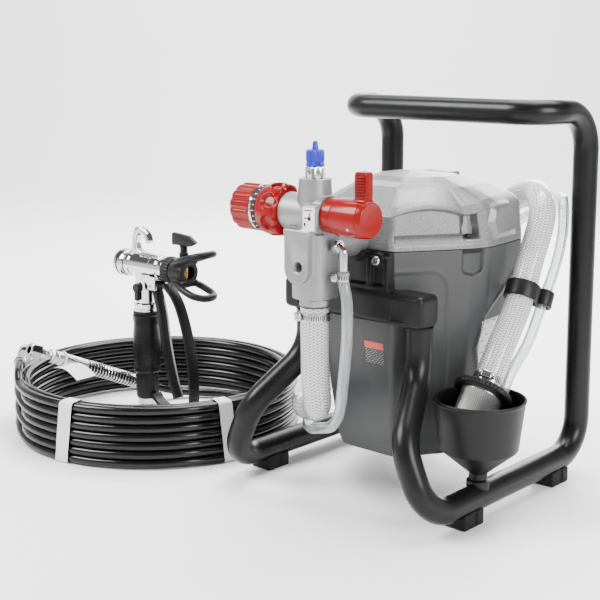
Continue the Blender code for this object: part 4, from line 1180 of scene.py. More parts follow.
# %% [markdown]
# ## Braided suction hose
# The suction hose is clear PVC with a white thread braid moulded inside it. Threads run both
# ways around and pass over and under each other, so the pattern reads as a herringbone. The
# hose is a skin with the braid in its own material: the threads stand up a little and scatter
# light, and the gaps between them let some light through to the clear wall.
# %% Lay the suction hose
SUCTION = [(0.0, -0.162, 0.2217), (0.0, -0.162, 0.185), (0.0, -0.161, 0.145), (-0.004, -0.153, 0.119),
           (-0.020, -0.138, 0.106), (-0.045, -0.121, 0.098), (-0.072, -0.097, 0.091),
           (-0.101, -0.060, 0.093), (-0.119, -0.014, 0.106), (-0.123, 0.036, 0.131),
           (-0.113, 0.083, 0.166), (-0.088, 0.119, 0.206), (-0.045, 0.128, 0.246),
           (0.0, 0.131, 0.280), (0.045, 0.132, 0.308), (0.083, 0.122, 0.321), (0.109, 0.096, 0.311),
           (0.119, 0.078, 0.294), (0.122, 0.063, 0.274), (0.124, 0.048, 0.253), (0.128, 0.021, 0.2125),
           (0.132, -0.0135, 0.1780), (0.1334, -0.0365, 0.1513), (0.1341, -0.0475, 0.1389)]
RETURN = [(0.0345, -0.158, 0.2617), (0.0345, -0.158, 0.252), (0.0395, -0.158, 0.228),
          (0.0395, -0.158, 0.192), (0.0350, -0.158, 0.146), (0.026, -0.153, 0.112), (0.006, -0.141, 0.091),
          (-0.022, -0.126, 0.079), (-0.055, -0.107, 0.068), (-0.083, -0.079, 0.065),
          (-0.105, -0.043, 0.068), (-0.120, -0.003, 0.080), (-0.125, 0.045, 0.101), (-0.116, 0.093, 0.133),
          (-0.092, 0.126, 0.172), (-0.045, 0.133, 0.212), (0.0, 0.137, 0.248), (0.046, 0.142, 0.280),
          (0.085, 0.143, 0.304), (0.113, 0.129, 0.317), (0.131, 0.104, 0.3125), (0.140, 0.0895, 0.288),
          (0.142, 0.078, 0.262), (0.142, 0.0645, 0.237), (0.1415, 0.0505, 0.216), (0.1430, 0.020, 0.1755),
          (0.1425, -0.0125, 0.1475), (0.142, -0.0258, 0.1285)]
SUCTION_R, RETURN_R, RETURN_BORE_R = 0.015, 0.006, 0.0042


def braided(radius):
    """White threads both ways around a clear wall; U is once around and V is metres along."""
    material, tree, shader = start_material("braided hose", (0.55, 0.56, 0.57), 0.18, 0.0, IOR=1.5,
                                            Coat_Weight=0.6, Coat_Roughness=0.06)
    parts = node(tree, "SeparateXYZ", {"Vector": node(tree, "UVMap", uv_map="UVMap").outputs[0]})
    lanes, pitch = 22.0, math.tau * radius / 22 * 0.72
    around = worked(tree, "MULTIPLY", parts.outputs[0], lanes)
    along = worked(tree, "MULTIPLY", parts.outputs[1], 1 / pitch)
    saw = worked(tree, "PINGPONG", worked(tree, "ADD", along, worked(tree, "PINGPONG", around, 1.0)), 0.5)
    wire = node(tree, "MapRange", {"Value": saw, "From Min": 0.12, "From Max": 0.22}).outputs["Result"]
    seam = worked(tree, "PINGPONG", around, 0.5)
    edge = node(tree, "MapRange", {"Value": seam, "From Min": 0.02, "From Max": 0.09}).outputs["Result"]
    thread = worked(tree, "MULTIPLY", wire, edge)
    shade = tint(tree, thread, (0.34, 0.35, 0.36), (0.74, 0.74, 0.74))
    tree.links.new(shade, shader.inputs["Base Color"])
    tree.links.new(spread(tree, thread, 0.62, 0.05), shader.inputs["Transmission Weight"])
    relief = node(tree, "Bump", {"Height": thread, "Distance": 0.0004})
    tree.links.new(relief.outputs[0], shader.inputs["Normal"])
    return material


LOOKS["braided"] = braided(SUCTION_R)
suction = sweep(flowing(SUCTION, 0.004), SUCTION_R - 0.0002, 48)
suction = finish_piece(suction, "braided_suction_hose", "braided", at=PUMP, stands_for=("suction_hose",))
print("suction hose laid,", len(suction.data.vertices), "points")

# %% [markdown]
# ## Clear return tube
# The thin return tube is plain clear PVC: a real bore inside a real wall, so that its edges
# look darker than its middle. Slight waviness keeps the highlights from being ruled lines.
# %% Lay the return tube
def clear_pvc():
    """Clear soft plastic with a slightly wavy skin."""
    material, tree, shader = start_material("clear tube", (0.84, 0.86, 0.87), 0.06, 0.0, IOR=1.42,
                                            Transmission_Weight=0.88)
    place = node(tree, "TexCoord").outputs["Object"]
    waves = node(tree, "TexNoise", {"Vector": place, "Scale": 60.0, "Detail": 2.0})
    relief = node(tree, "Bump", {"Height": waves.outputs[0], "Distance": 0.0006})
    tree.links.new(relief.outputs[0], shader.inputs["Normal"])
    tree.links.new(spread(tree, waves.outputs[0], 0.04, 0.16), shader.inputs["Roughness"])
    return material


LOOKS["clear"] = clear_pvc()
return_line = flowing(RETURN, 0.004)
outer_skin = sweep(return_line, RETURN_R - 0.0001, 32, caps=False)
bore = sweep(return_line, RETURN_BORE_R, 24, caps=False)
bore.data.flip_normals()
return_tube = finish_piece(as_one([outer_skin, bore]), "clear_return_tube", "clear", at=PUMP,
                           stands_for=("return_tube",))
ends = []
for point, following in ((return_line[0], return_line[1]), (return_line[-1], return_line[-2])):
    ends.append(moved(hoop(RETURN_BORE_R, 0.0059, 0.0, 0.0003, 32), point, following - point))
finish_piece(as_one(ends), "return_tube_rims", "clear", at=PUMP)
print("return tube laid")

# %% [markdown]
# ## Hose clip
# A snap clip ties the return tube to the suction hose: two open rings on one short web, with
# lips turned out where the hoses are pushed in.
# %% Snap on the clip
CLIP = PUMP + Vector((0.1270, 0.0305, 0.2250))
CLIP_WAY = Vector((0.083, -0.545, -0.836))
BESIDE = PUMP + Vector((0.1415, 0.0505, 0.2160))


def snap_ring(outer, inner, half, at):
    return moved(hoop(inner, outer, -half, half, 72, 0.0008), at, CLIP_WAY)


web_from = CLIP + (BESIDE - CLIP).normalized() * 0.0170
web_to = BESIDE - (BESIDE - CLIP).normalized() * 0.0078
web = sweep([web_from, web_to], 0.0024, 16)
clip = as_one([snap_ring(0.0187, 0.0160, 0.0090, CLIP), snap_ring(0.0103, 0.0068, 0.0088, BESIDE), web])
finish_piece(clip, "double_snap_clip", "black_plastic", sharp=40, stands_for=("hose_clip",))
print("clip in place")

# %% [markdown]
# ## Strainer
# The suction hose ends in a ribbed black cap over a basket of woven stainless wire. The weave
# is real wire: a slanted grid around the basket turned into round strands, with a plain hem.
# %% Weave the strainer
STRAINER = PUMP + Vector((0.1347, -0.0524, 0.1333))
DOWN = Vector((0.044, -0.66, -0.75)).normalized()
cap_profile = softened([(0.0, -0.0040), (0.0290, -0.0040), (0.0310, -0.0028), (0.0310, 0.0018),
                        (0.0295, 0.0030),
                        (0.0150, 0.0034), (0.0125, 0.0050), (0.0120, 0.0185), (0.0, 0.0185)], 0.0006)
strainer_cap = turned(cap_profile, 192, ribbed(40, 0.0008, 0.0300))
finish_piece(strainer_cap, "strainer_disc", "black_plastic", "pump_unit", STRAINER, -DOWN, 40,
             ("strainer_cap",))
BASKET = STRAINER + DOWN * 0.0043


def woven(radius_top, radius_low, depth, around, rows, slant):
    """Slanted wire rings from the top hem down the wall and across the floor."""
    rings = []
    for j in range(rows + 1):
        t = j / rows
        r = radius_top + (radius_low - radius_top) * t
        rings.append([Vector((r * math.cos(a), r * math.sin(a), -depth * t)) for a in
                      (math.tau * (i + slant * j) / around for i in range(around))])
    for j in range(1, 14):
        r = radius_low * (1 - j / 14)
        rings.append([Vector((r * math.cos(a), r * math.sin(a), -depth)) for a in
                      (math.tau * (i + slant * (rows + j)) / around for i in range(around))])
    return skin("weave", rings, low_cap=False, high_cap=False)


weave = woven(0.0216, 0.0196, 0.0296, 60, 20, 0.5)
strands = weave.modifiers.new("strands", "WIREFRAME")
strands.thickness = 0.00085
weave = worked_out(weave)
weave = finish_piece(weave, "strainer_weave", "mesh_steel", "pump_unit", BASKET, -DOWN, 60,
                     ("strainer_mesh",))
# A black cone fills the basket: painted shade inside the wire weave.
basket_shade = turned([(0.0, -0.0280), (0.0174, -0.0280), (0.0192, -0.0004), (0.0, -0.0004)], 48)
finish_piece(basket_shade, "strainer_inside_shade", "dark", "pump_unit", BASKET, -DOWN)
hems = [hoop(0.0205, 0.0219, -0.0018, 0.0, 72, 0.0004),
        turned(softened([(0.0185, -0.0300), (0.0200, -0.0300), (0.0203, -0.0282), (0.0189, -0.0282),
                         (0.0185, -0.0300)], 0.0004), 72)]
finish_piece(as_one(hems), "strainer_hems", "steel", "pump_unit", BASKET, -DOWN)
worm_clamp("strainer_clamp", STRAINER - DOWN * 0.0130, -DOWN, 0.0150, 0.0090, math.radians(110))
print("strainer woven with", len(weave.data.vertices), "points")

# %% [markdown]
# ## Drip cup
# A black funnel stands on a peg over the floor tube and catches what drips from the strainer.
# Its rim has a rolled lip, and its outlet is a short spout over the peg.
# %% Mould the drip cup
CUP = PUMP + Vector((0.136, -0.060, 0.0))
cup_profile = softened([(0.0470, 0.1300), (0.0480, 0.1293), (0.0480, 0.1268), (0.0470, 0.1256),
                        (0.0410, 0.0770),
                        (0.0402, 0.0752), (0.0096, 0.0500), (0.0095, 0.0425), (0.0070, 0.0425),
                        (0.0069, 0.0520),
                        (0.0380, 0.0772), (0.0390, 0.0795), (0.0456, 0.1290), (0.0470, 0.1300)], 0.0010)
finish_piece(turned(cup_profile, 128), "funnel_cup", "black_plastic", "cup", CUP, sharp=40,
             stands_for=("drip_cup",))
peg = turned(softened([(0.0, 0.0600), (0.0050, 0.0600), (0.0060, 0.0585), (0.0060, 0.0424), (0.0120, 0.0422),
                       (0.0120, 0.0300), (0.0, 0.0300)], 0.0008), 64)
peg = carve(peg, [tube_saddle()])
finish_piece(peg, "cup_post", "black_plastic", "pump_unit", CUP, sharp=40, stands_for=("cup_peg",))
print("drip cup moulded")

# %% [markdown]
# ## The spray gun head
# The gun's head is die cast and chromed: a barrel with a hanging hook flowing out of its top,
# a neck into the handle and a fork for the trigger. The fork and bores are cut afterwards.
# %% Cast the gun head
BARREL_Z = 0.200
HOOK = [(-0.0200, 0.1900), (-0.0220, 0.2100), (-0.0215, 0.2300), (-0.0175, 0.2440), (-0.0140, 0.2500),
        (-0.0060, 0.2508), (0.0030, 0.2480), (0.0090, 0.2430), (0.0130, 0.2340), (0.0125, 0.2310),
        (0.0070, 0.2300),
        (0.0050, 0.2330), (0.0030, 0.2390), (-0.0015, 0.2425), (-0.0070, 0.2430), (-0.0105, 0.2390),
        (-0.0135, 0.2290), (-0.0110, 0.2215), (-0.0030, 0.2180), (0.0100, 0.2172), (0.0300, 0.2165),
        (0.0440, 0.2120), (0.0440, 0.1900)]
barrel = moved(turned([(0.0150, -0.0280), (0.0160, -0.0270), (0.0160, -0.0200), (0.0152, -0.0185),
                       (0.0152, 0.0200),
                       (0.0160, 0.0215), (0.0160, 0.0340), (0.0150, 0.0350), (0.0150, 0.0380),
                       (0.0160, 0.0390), (0.0160, 0.0460)], 72), (0, 0, BARREL_Z), (1, 0, 0))
hook_fin = plate(HOOK, 0.0110, 0.0022)
throat = rod(0.0132, 0.1503, 0.1950, 64, 0.0138)
fork = slab((0.0100, -0.0115, 0.1700), (0.0300, 0.0115, 0.1980), 0.0020)
spine = slab((-0.0130, -0.0085, 0.1720), (0.0140, 0.0085, 0.2000), 0.0030)
gun_head = cast([barrel, hook_fin, throat, fork, spine], 0.00055, 3)
cuts = [slab((0.0145, -0.0078, 0.1600), (0.0400, 0.0078, 0.1835)),
        moved(rod(0.0030, -0.05, 0.06, 32), (0, 0, BARREL_Z), (1, 0, 0)),
        moved(rod(0.0023, -0.03, 0.03, 32), (0.021, 0, 0.176), (0, 1, 0)),
        slab((-0.03, -0.03, 0.14), (0.03, 0.03, 0.1503)),
        slab((0.0460, -0.03, 0.17), (0.06, 0.03, 0.23))]
gun_head = carve(gun_head, cuts)
finish_piece(gun_head, "gun_head_casting", "chrome", "gun", GUN, sharp=50, stands_for=("gun_head",))
REAR = GUN + Vector((-0.0283, 0, BARREL_Z))
rear = turned([(0.0, 0.0177), (0.0120, 0.0177), (0.0124, 0.0170), (0.0150, 0.0170), (0.0160, 0.0177),
               (0.0172, 0.0172), (0.0180, 0.0158), (0.0180, 0.0125), (0.0174, 0.0120), (0.0174, 0.0095),
               (0.0180, 0.0090), (0.0180, 0.0010), (0.0172, 0.0), (0.0, 0.0)], 128,
               ribbed(36, 0.0005, 0.0176, 0.0088))
finish_piece(rear, "gun_rear_plug", "chrome", "gun", REAR, (-1, 0, 0), 35, ("gun_rear_cap",))
finish_piece(hoop(0.0171, 0.0179, 0.0096, 0.0119, 96), "gun_rear_ring", "rubber", "gun", REAR, (-1, 0, 0))
print("gun head cast with", len(gun_head.data.vertices), "points")

# %% [markdown]
# ## The gun's handle
# From the top: a chrome collar, a knurled ring, a barrel-shaped soft grip, and a faceted
# section that takes the filter. A chrome swivel turns under it for the hose.
# %% Build the handle
grip_profile = [(0.0075, 0.1350), (0.0170, 0.1350), (0.0183, 0.1340), (0.0178, 0.1290), (0.0172, 0.1230)]
grip_profile += [(0.0171 + 0.0013 * math.sin(math.pi * t) ** 1.2, 0.1225 - 0.0560 * t) for t in
                 (i / 24 for i in range(25))]
grip_profile += [(0.0176, 0.0645), (0.0182, 0.0620), (0.0182, 0.0590), (0.0172, 0.0572), (0.0075, 0.0570),
                 (0.0075, 0.1350)]


def grip_wave(angle, radius, height):
    """Fine grooves around the barrel of the grip."""
    if radius < 0.016 or not 0.0660 < height < 0.1230:
        return radius
    return radius - 0.00018 * (0.5 + 0.5 * math.cos(math.tau * (height - 0.066) / 0.0047)) ** 4


fine_grip = []
for (r0, z0), (r1, z1) in zip(grip_profile, grip_profile[1:]):
    steps = max(1, int(abs(z1 - z0) / 0.0007)) if r0 > 0.016 and r1 > 0.016 else 1
    fine_grip += [(r0 + (r1 - r0) * i / steps, z0 + (z1 - z0) * i / steps) for i in range(steps)]
handle = turned([*fine_grip, grip_profile[-1]], 72, grip_wave)
finish_piece(handle, "soft_grip", "grip", "gun", GUN, sharp=50, stands_for=("gun_handle",))
lower = turned([(0.0075, 0.0570), (0.0143, 0.0568), (0.0150, 0.0555), (0.0150, 0.0250), (0.0140, 0.0226),
                (0.0075, 0.0226), (0.0075, 0.0570)], 96, hexed(0.0276))
finish_piece(lower, "filter_section", "black_plastic", "gun", GUN, sharp=25)
collar = turned([(0.0075, 0.1500), (0.0158, 0.1500), (0.0163, 0.1494), (0.0163, 0.1442), (0.0155, 0.1436),
                 (0.0155, 0.1422), (0.0165, 0.1416), (0.0165, 0.1402), (0.0075, 0.1400), (0.0075, 0.1500)],
                 72)
finish_piece(collar, "handle_collar", "chrome", "gun", GUN, sharp=30)
knurl = turned([(0.0075, 0.1398), (0.0168, 0.1398), (0.0172, 0.1392), (0.0172, 0.1358), (0.0168, 0.1352),
                (0.0075, 0.1352), (0.0075, 0.1398)], 160, ribbed(40, 0.0006, 0.0165, power=1))
finish_piece(knurl, "knurled_ring", "grip", "gun", GUN, sharp=60)
swivel = turned([(0.0040, 0.0223), (0.0115, 0.0223), (0.0130, 0.0212), (0.0130, 0.0140), (0.0120, 0.0134),
                 (0.0108, 0.0120), (0.0108, 0.0100), (0.0118, 0.0092), (0.0118, 0.0012), (0.0108, 0.0),
                 (0.0040, 0.0), (0.0040, 0.0223)], 96, hexed(0.0246))
finish_piece(swivel, "swivel_fitting", "chrome", "swivel", GUN, sharp=25, stands_for=("gun_swivel",))
print("handle built")

# %% [markdown]
# ## Trigger and guard
# The trigger is a long two-finger lever with a bright front edge. The guard is a flat bar bent
# from the fork round to the bottom of the handle. A small lock turns beside the fork.
# %% Bend the guard and trigger
def bar(points, thickness):
    """The outline of a flat bar along points in the upright plane."""
    line = [p.xz for p in flowing([(x, 0, z) for x, z in points], 0.004)]
    left, right = [], []
    for i, point in enumerate(line):
        along = (line[min(i + 1, len(line) - 1)] - line[max(i - 1, 0)]).normalized()
        side = Vector((-along.y, along.x)) * thickness / 2
        left.append(point + side)
        right.append(point - side)
    return left + right[::-1]


GUARD = [(0.0166, 0.0285), (0.0240, 0.0210), (0.0400, 0.0140), (0.0720, 0.0120), (0.0860, 0.0180),
         (0.0900, 0.0320), (0.0890, 0.0700), (0.0820, 0.1100), (0.0700, 0.1450), (0.0580, 0.1650),
         (0.0410, 0.1795)]
guard = plate(bar(GUARD, 0.0050), 0.0158, 0.0012)
finish_piece(guard, "trigger_guard_bow", "black_plastic", "gun", GUN, sharp=40, stands_for=("trigger_guard",))
LEVER_LINE = [(0.0, 0.0), (0.0060, -0.0180), (0.0120, -0.0400), (0.0170, -0.0700), (0.0240, -0.1000),
              (0.0320, -0.1260), (0.0400, -0.1450)]
PIVOT = GUN + Vector((0.021, 0, 0.176))
blade = plate(bar(LEVER_LINE, 0.0086), 0.0138, 0.0020)
hub = moved(rod(0.0060, -0.0070, 0.0070, 48), way=(0, 1, 0))
trigger = carve(blade, [hub], "UNION")
trigger = carve(trigger, [moved(rod(0.0021, -0.03, 0.03, 32), way=(0, 1, 0))])
finish_piece(trigger, "trigger_lever", "black_plastic", "trigger", PIVOT, sharp=40,
             stands_for=("gun_trigger",))
edge_line = [(x + 0.0040, z + 0.0008) for x, z in LEVER_LINE[1:]]
edge = moved(plate(bar(edge_line, 0.0012), 0.0026, 0.0004), (0, 0.0040, 0))
finish_piece(edge, "trigger_bright_edge", "steel", "trigger", PIVOT, sharp=40)
pin = turned([(0.0, -0.0125), (0.0017, -0.0125), (0.0020, -0.0121), (0.0020, 0.0121), (0.0017, 0.0125),
              (0.0, 0.0125)], 32)
finish_piece(pin, "pivot_pin", "steel", "gun", PIVOT, (0, 1, 0), 30, ("trigger_pin",))
lock_button = turned(softened([(0.0, 0.0140), (0.0062, 0.0140), (0.0065, 0.0145), (0.0065, 0.0190),
                               (0.0055, 0.0200), (0.0, 0.0200)], 0.0005), 48, ribbed(14, 0.0004, 0.0064))
lock_arm = slab((-0.0040, -0.0190, -0.0170), (0.0040, -0.0150, 0.0040), 0.0012)
finish_piece(as_one([lock_arm, moved(lock_button, way=(0, -1, 0))]), "trigger_lock_lever", "black_plastic",
             "lock", GUN + Vector((0.002, 0, 0.172)), sharp=35,
             stands_for=("trigger_lock",))
print("trigger and guard bent")

# %% [markdown]
# ## Tip, tip guard and retaining nut
# Two thick rounded loops keep fingers away from the jet. The brass tip turns in the guard by
# its black arrow flag, so that a blocked tip can be reversed and blown clear.
# %% Mould the tip guard
nut = turned([(0.0040, 0.0), (0.0168, 0.0), (0.0175, 0.0008), (0.0175, 0.0120), (0.0165, 0.0135),
              (0.0040, 0.0135), (0.0040, 0.0)], 192, ribbed(24, 0.0012, 0.0170))
finish_piece(nut, "tip_retaining_nut", "black_plastic", "gun", GUN + Vector((0.0463, 0, BARREL_Z)),
             (1, 0, 0), 50, ("retaining_nut",))
solids = [moved(turned([(0.0155, 0.0), (0.0165, 0.0010), (0.0165, 0.0190), (0.0150, 0.0250)], 72),
                (0.0604, 0, BARREL_Z), (1, 0, 0))]
for side in (1, -1):
    low, high = sorted((0.0095 * side, 0.0185 * side))
    solids.append(moved(slab((0.0625, -0.0145, low), (0.0880, 0.0145, high), 0.0035), (0, 0, BARREL_Z)))
    half = [(0.066, -0.010, 0.010 * side), (0.080, -0.0150, 0.0155 * side), (0.092, -0.0172, 0.0195 * side),
            (0.108, -0.0165, 0.0245 * side), (0.1185, -0.0105, 0.0270 * side), (0.1215, 0.0, 0.0277 * side)]
    loop = half + [(x, -y, z) for x, y, z in reversed(half[:-1])]
    solids.append(moved(sweep(flowing(loop, 0.0015), 0.0046, 24), (0, 0, BARREL_Z)))
tip_guard = cast(solids, 0.0006, 3)
tip_guard = carve(tip_guard, [moved(rod(0.0085, 0.075, 0.10), (0, 0, BARREL_Z), (1, 0, 0)),
                              moved(rod(0.0064, -0.03, 0.03), (0.075, 0, BARREL_Z)),
                              moved(rod(0.0030, 0.05, 0.075, 32), (0, 0, BARREL_Z), (1, 0, 0))])
finish_piece(tip_guard, "tip_guard_loops", "black_plastic", "guard", GUN, sharp=50, stands_for=("tip_guard",))
stem = turned([(0.0, -0.0160), (0.0055, -0.0160), (0.0061, -0.0154), (0.0061, 0.0130), (0.0050, 0.0140),
               (0.0, 0.0140)], 64)
stem = carve(stem, [moved(rod(0.0011, 0.0, 0.02, 24), way=(1, 0, 0)),
                    slab((0.0046, -0.0100, -0.0006), (0.0080, 0.0100, 0.0006))])
TIP = GUN + Vector((0.075, 0, BARREL_Z))
finish_piece(stem, "tip_barrel", "brass", "tip", TIP, sharp=35, stands_for=("spray_tip",))
flag = plate([(-0.0200, 0.0340), (0.0120, 0.0340), (0.0200, 0.0370), (0.0240, 0.0400), (0.0200, 0.0430),
              (0.0120, 0.0480), (-0.0180, 0.0500), (-0.0200, 0.0480)], 0.0060, 0.0014)
shaft = turned([(0.0, 0.0142), (0.0060, 0.0142), (0.0060, 0.0250), (0.0048, 0.0262), (0.0048, 0.0320),
                (0.0056, 0.0345), (0.0, 0.0345)], 48)
finish_piece(as_one([flag, shaft]), "tip_arrow_flag", "black_plastic", "tip", TIP, sharp=35)
print("tip and guard moulded")

# %% [markdown]
# ## Switch and cord gland
# At the back of the housing a rocker switch sits in a bezel, and a ribbed gland guides the
# mains cord out.
# %% Fit the switch and gland
SWITCH = PUMP + Vector((0.040, 0.0970, 0.160))
bezel = carve(slab((-0.012, 0.0, -0.017), (0.012, 0.010, 0.017), 0.0018),
              [slab((-0.0078, -0.001, -0.0125), (0.0078, 0.020, 0.0125), 0.0006)])
finish_piece(bezel, "rocker_bezel", "black_plastic", at=SWITCH, sharp=30, stands_for=("switch_bezel",))
ROCKER = PUMP + Vector((0.040, 0.1035, 0.160))
rocker_rings = []
for i in range(13):
    t = i / 12
    z = -0.0110 + 0.0220 * t
    top = 0.0030 + 0.0025 * (2 * t - 1) ** 2
    section = ((-0.0070, -0.0045), (0.0070, -0.0045), (0.0070, top - 0.0006), (0.0064, top),
               (-0.0064, top), (-0.0070, top - 0.0006))
    rocker_rings.append([Vector((x, y, z)) for x, y in section])
finish_piece(skin("rocker", rocker_rings), "rocker", "red_plastic", "switch_rocker", ROCKER, sharp=40,
             stands_for=("power_switch",))
marks = [moved(slab((-0.0003, 0.0, -0.0022), (0.0003, 0.0004, 0.0022)), (0, 0.0048, 0.0068)),
         moved(hoop(0.0014, 0.0020, 0.0, 0.0003, 24), (0, 0.0047, -0.0068), (0, 1, 0))]
finish_piece(as_one(marks), "rocker_marks", "paper", "switch_rocker", ROCKER)
gland_profile = [(0.0032, 0.0), (0.0100, 0.0), (0.0100, 0.0060), (0.0092, 0.0080)]
for i in range(5):
    z, r = 0.0100 + 0.0038 * i, 0.0088 - 0.0007 * i
    gland_profile += [(r, z), (r, z + 0.0020), (r - 0.0012, z + 0.0022), (r - 0.0013, z + 0.0036)]
gland_profile += [(0.0055, 0.0292), (0.0052, 0.0300), (0.0032, 0.0300), (0.0032, 0.0)]
finish_piece(turned(gland_profile, 64), "gland", "rubber", "pump_unit",
             PUMP + Vector((-0.030, 0.0866, 0.075)), (0, 1, 0), 40, ("cord_gland",))
print("switch and gland fitted")

# %% [markdown]
# ## The drive inside
# The motor, gears and piston stay as the engineering solids. Copper end windings sit on the
# stator, and every solid that stays gets a finish with real surface detail.
# %% Finish the inner parts
for name, low, high in (("lower_windings", 0.0745, 0.0848), ("upper_windings", 0.1652, 0.1712)):
    winding = hoop(0.0370, 0.0520, low, high, 144, 0.0028, ribbed(36, 0.0010, 0.0450))
    finish_piece(winding, name, "copper", at=PUMP, sharp=60)
replaced = {n for o in bpy.data.objects for n in o.get("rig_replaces", [])}
slot_of = {}
for entry in frame["record"]["materials"]:
    for name in entry.get("nodes", []):
        slot_of[name] = entry["slot"]
kept = sorted(set(frame["nodes"]) - replaced)
for name in kept:
    part = frame["nodes"][name]
    part.data.materials.clear()
    part.data.materials.append(LOOKS.get(slot_of.get(name, "steel"), LOOKS["steel"]))
print("solids kept:", kept)

# %% [markdown]
# ## Labels
# Labels are thin printed sheets that follow the moulding. Each is a grid of points dropped
# onto the surface behind it. The print is made of plain bars, with no words and no marks.
# %% Print the labels
LABEL_SHEET = 0.00018
LABEL_CELLS = 20


def printed(name, ground, ink, rows, columns, fill, band=None):
    """Bars like lines of small print; band is a strip of another colour along the top."""
    material, tree, shader = start_material(name, ground, 0.35)
    where = node(tree, "UVMap", uv_map="UVMap").outputs[0]
    bricks = node(tree, "TexBrick", {"Vector": where, "Color1": (*ink, 1), "Color2": (*ground, 1),
                                     "Mortar": (*ground, 1), "Scale": 1.0, "Mortar Size": 0.5 / rows * fill,
                                     "Bias": -0.35, "Brick Width": 1.0 / columns, "Row Height": 1.0 / rows})
    colour = bricks.outputs["Color"]
    if band:
        high = node(tree, "SeparateXYZ", {"Vector": where}).outputs[1]
        over = worked(tree, "GREATER_THAN", high, 0.72)
        mixed = node(tree, "Mix", {0: over, 6: colour, 7: (*band, 1)}, data_type="RGBA")
        colour = mixed.outputs[2]
    tree.links.new(colour, shader.inputs["Base Color"])
    place = node(tree, "TexCoord").outputs["Object"]
    fine = node(tree, "TexNoise", {"Vector": place, "Scale": 900.0})
    tree.links.new(spread(tree, fine.outputs[0], 0.25, 0.45), shader.inputs["Roughness"])
    return material


def label(target, name, look, at, facing, width, height):
    """Drop a grid onto the target's surface and give it a little thickness."""
    facing = Vector(facing).normalized()
    right = Vector((0, 0, 1)).cross(facing).normalized()
    up = facing.cross(right)
    bpy.context.view_layer.update()
    inverse = target.matrix_world.inverted()
    shape = bmesh.new()
    uv = shape.loops.layers.uv.new("UVMap")
    grid = []
    for j in range(LABEL_CELLS + 1):
        row = []
        for i in range(LABEL_CELLS + 1):
            spot = (Vector(at) + right * width * (i / LABEL_CELLS - 0.5)
                    + up * height * (j / LABEL_CELLS - 0.5))
            start = spot + facing * 0.02
            hit, point, _, _ = target.ray_cast(inverse @ start, inverse.to_3x3() @ -facing)
            landed = target.matrix_world @ point if hit else spot
            row.append(shape.verts.new(landed + facing * (LABEL_SHEET + 0.00008)))
        grid.append(row)
    for j in range(LABEL_CELLS):
        for i in range(LABEL_CELLS):
            face = shape.faces.new((grid[j][i], grid[j][i + 1], grid[j + 1][i + 1], grid[j + 1][i]))
            for corner, (a, b) in zip(face.loops, ((i, j), (i + 1, j), (i + 1, j + 1), (i, j + 1))):
                corner[uv].uv = (a / LABEL_CELLS, b / LABEL_CELLS)
    sheet = finish_piece(object_from(shape, name), name, look, sharp=60)
    thick = sheet.modifiers.new("sheet", "SOLIDIFY")
    thick.thickness = LABEL_SHEET
    thick.offset = -1.0


LOOKS["side_print"] = printed("side label", (0.80, 0.80, 0.79), (0.05, 0.05, 0.05), 9, 5, 0.9)
LOOKS["notice_print"] = printed("notice label", (0.02, 0.02, 0.02), (0.60, 0.60, 0.58), 12, 6, 0.9,
                                band=(0.62, 0.05, 0.03))
LOOKS["dial_print"] = printed("dial label", (0.82, 0.82, 0.81), (0.06, 0.06, 0.06), 5, 3, 1.2)
LOOKS["decal_print"] = printed("decal", (0.30, 0.30, 0.31), (0.02, 0.02, 0.02), 2, 3, 0.8)
label(housing, "side_label", "side_print", PUMP + Vector((0.1010, 0.030, 0.165)), (1, 0.12, 0), 0.070, 0.060)
label(housing, "notice_label", "notice_print", PUMP + Vector((0.022, -0.090, 0.163)), (0, -1, 0), 0.026,
      0.024)
label(manifold, "dial_label", "dial_print", PUMP + Vector((0.0105, -0.1840, 0.3155)), (0, -1, 0), 0.0165,
      0.0235)
label(cover, "cover_decal", "decal_print", PUMP + Vector((0.0, -0.058, 0.350)), (0, -0.35, 1), 0.052, 0.012)
dot = turned([(0.0, 0.0), (0.0022, 0.0), (0.0022, 0.0002), (0.0, 0.0002)], 24)
pictogram = [moved(dot, (0.0118, 0, 0.3160), (0, -1, 0)),
             slab((0.0112, -0.0001, 0.3160), (0.0124, 0.0001, 0.3225)),
             slab((0.0050, -0.0001, 0.3154), (0.0110, 0.0001, 0.3164)),
             slab((0.0050, -0.0001, 0.3238), (0.0160, 0.0001, 0.3248)),
             slab((0.0046, -0.0001, 0.3080), (0.0068, 0.0001, 0.3118))]
finish_piece(as_one(pictogram), "dial_pictogram", "dark", at=PUMP + Vector((0, -0.1844, 0)))
print("labels printed")

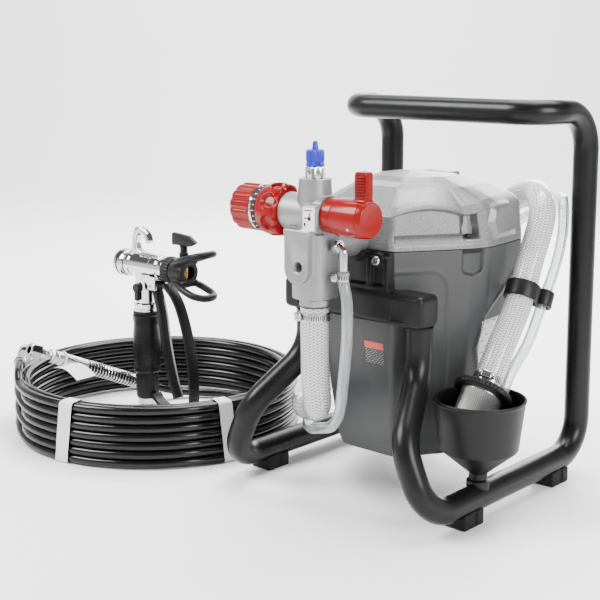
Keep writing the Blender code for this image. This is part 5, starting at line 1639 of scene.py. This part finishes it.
# %% [markdown]
# ## Floor
# The tools stand on a pale sheet that curves up behind them, so that no horizon shows.
# %% Roll out the floor
CURVE_FROM, CURVE_R = 2.6, 1.4
profile = [(-5.0, 0.0), (CURVE_FROM, 0.0)]
profile += [(CURVE_FROM + CURVE_R * math.sin(a), CURVE_R * (1 - math.cos(a))) for a in
            (math.radians(5 * i) for i in range(1, 19))]
profile += [(CURVE_FROM + CURVE_R, 4.0)]
sweep_mesh = bpy.data.meshes.new("floor")
corners = [(x, y, z) for y, z in profile for x in (-7.0, 7.0)]
quads = [(2 * i, 2 * i + 1, 2 * i + 3, 2 * i + 2) for i in range(len(profile) - 1)]
sweep_mesh.from_pydata(corners, [], quads)
sweep_mesh.shade_smooth()
floor = bpy.data.objects.new("floor", sweep_mesh)
floor.rotation_euler = (0, 0, math.radians(42))
bpy.context.scene.collection.objects.link(floor)
floor.data.materials.append(mottled("pale floor", (0.93, 0.93, 0.93), 0.55, grain=80, bump=0.00002, vary=0.01,
                                    patch=2))
print("floor laid with", len(corners), "points")

# %% [markdown]
# ## Lights
# Large soft lamps from the front left, the right, above and behind, as in a plain studio. The
# surroundings are bright near the horizon and dim above, so that black parts keep their depth.
# %% Light the set
def lamp(name, energy, size, at, look_at=(0.0, 0.0, 0.18)):
    """A square soft lamp pointed at the tools."""
    light = bpy.data.lights.new(name, "AREA")
    light.energy = energy
    light.size = size
    obj = bpy.data.objects.new(name, light)
    bpy.context.scene.collection.objects.link(obj)
    obj.location = at
    obj.rotation_euler = (Vector(look_at) - Vector(at)).to_track_quat("-Z", "Y").to_euler()


lamp("key", 88, 1.0, (-0.9, -1.3, 1.7))
lamp("right", 36, 0.8, (1.7, -0.3, 0.9))
lamp("top", 72, 1.4, (0.1, 0.5, 2.0))
lamp("back", 34, 1.0, (-0.6, 1.8, 1.0))
lamp("backdrop wash", 230, 2.0, (-0.9, 1.0, 2.6), (-2.3, 2.9, 0.6))
world = bpy.data.worlds.new("studio")
bpy.context.scene.world = world
world.use_nodes = True
tree = world.node_tree
direction = node(tree, "SeparateXYZ", {"Vector": node(tree, "TexCoord").outputs["Generated"]})
ramp = node(tree, "ValToRGB", {"Fac": spread(tree, direction.outputs[2], 0.5, 1.0)})
for stop, position, grey in zip(ramp.color_ramp.elements, (0.58, 0.72), (1.0, 0.12)):
    stop.position = position
    stop.color = (grey, grey, grey, 1)
tree.links.new(ramp.outputs["Color"], tree.nodes["Background"].inputs["Color"])
tree.nodes["Background"].inputs["Strength"].default_value = 1.5
print("lights set")
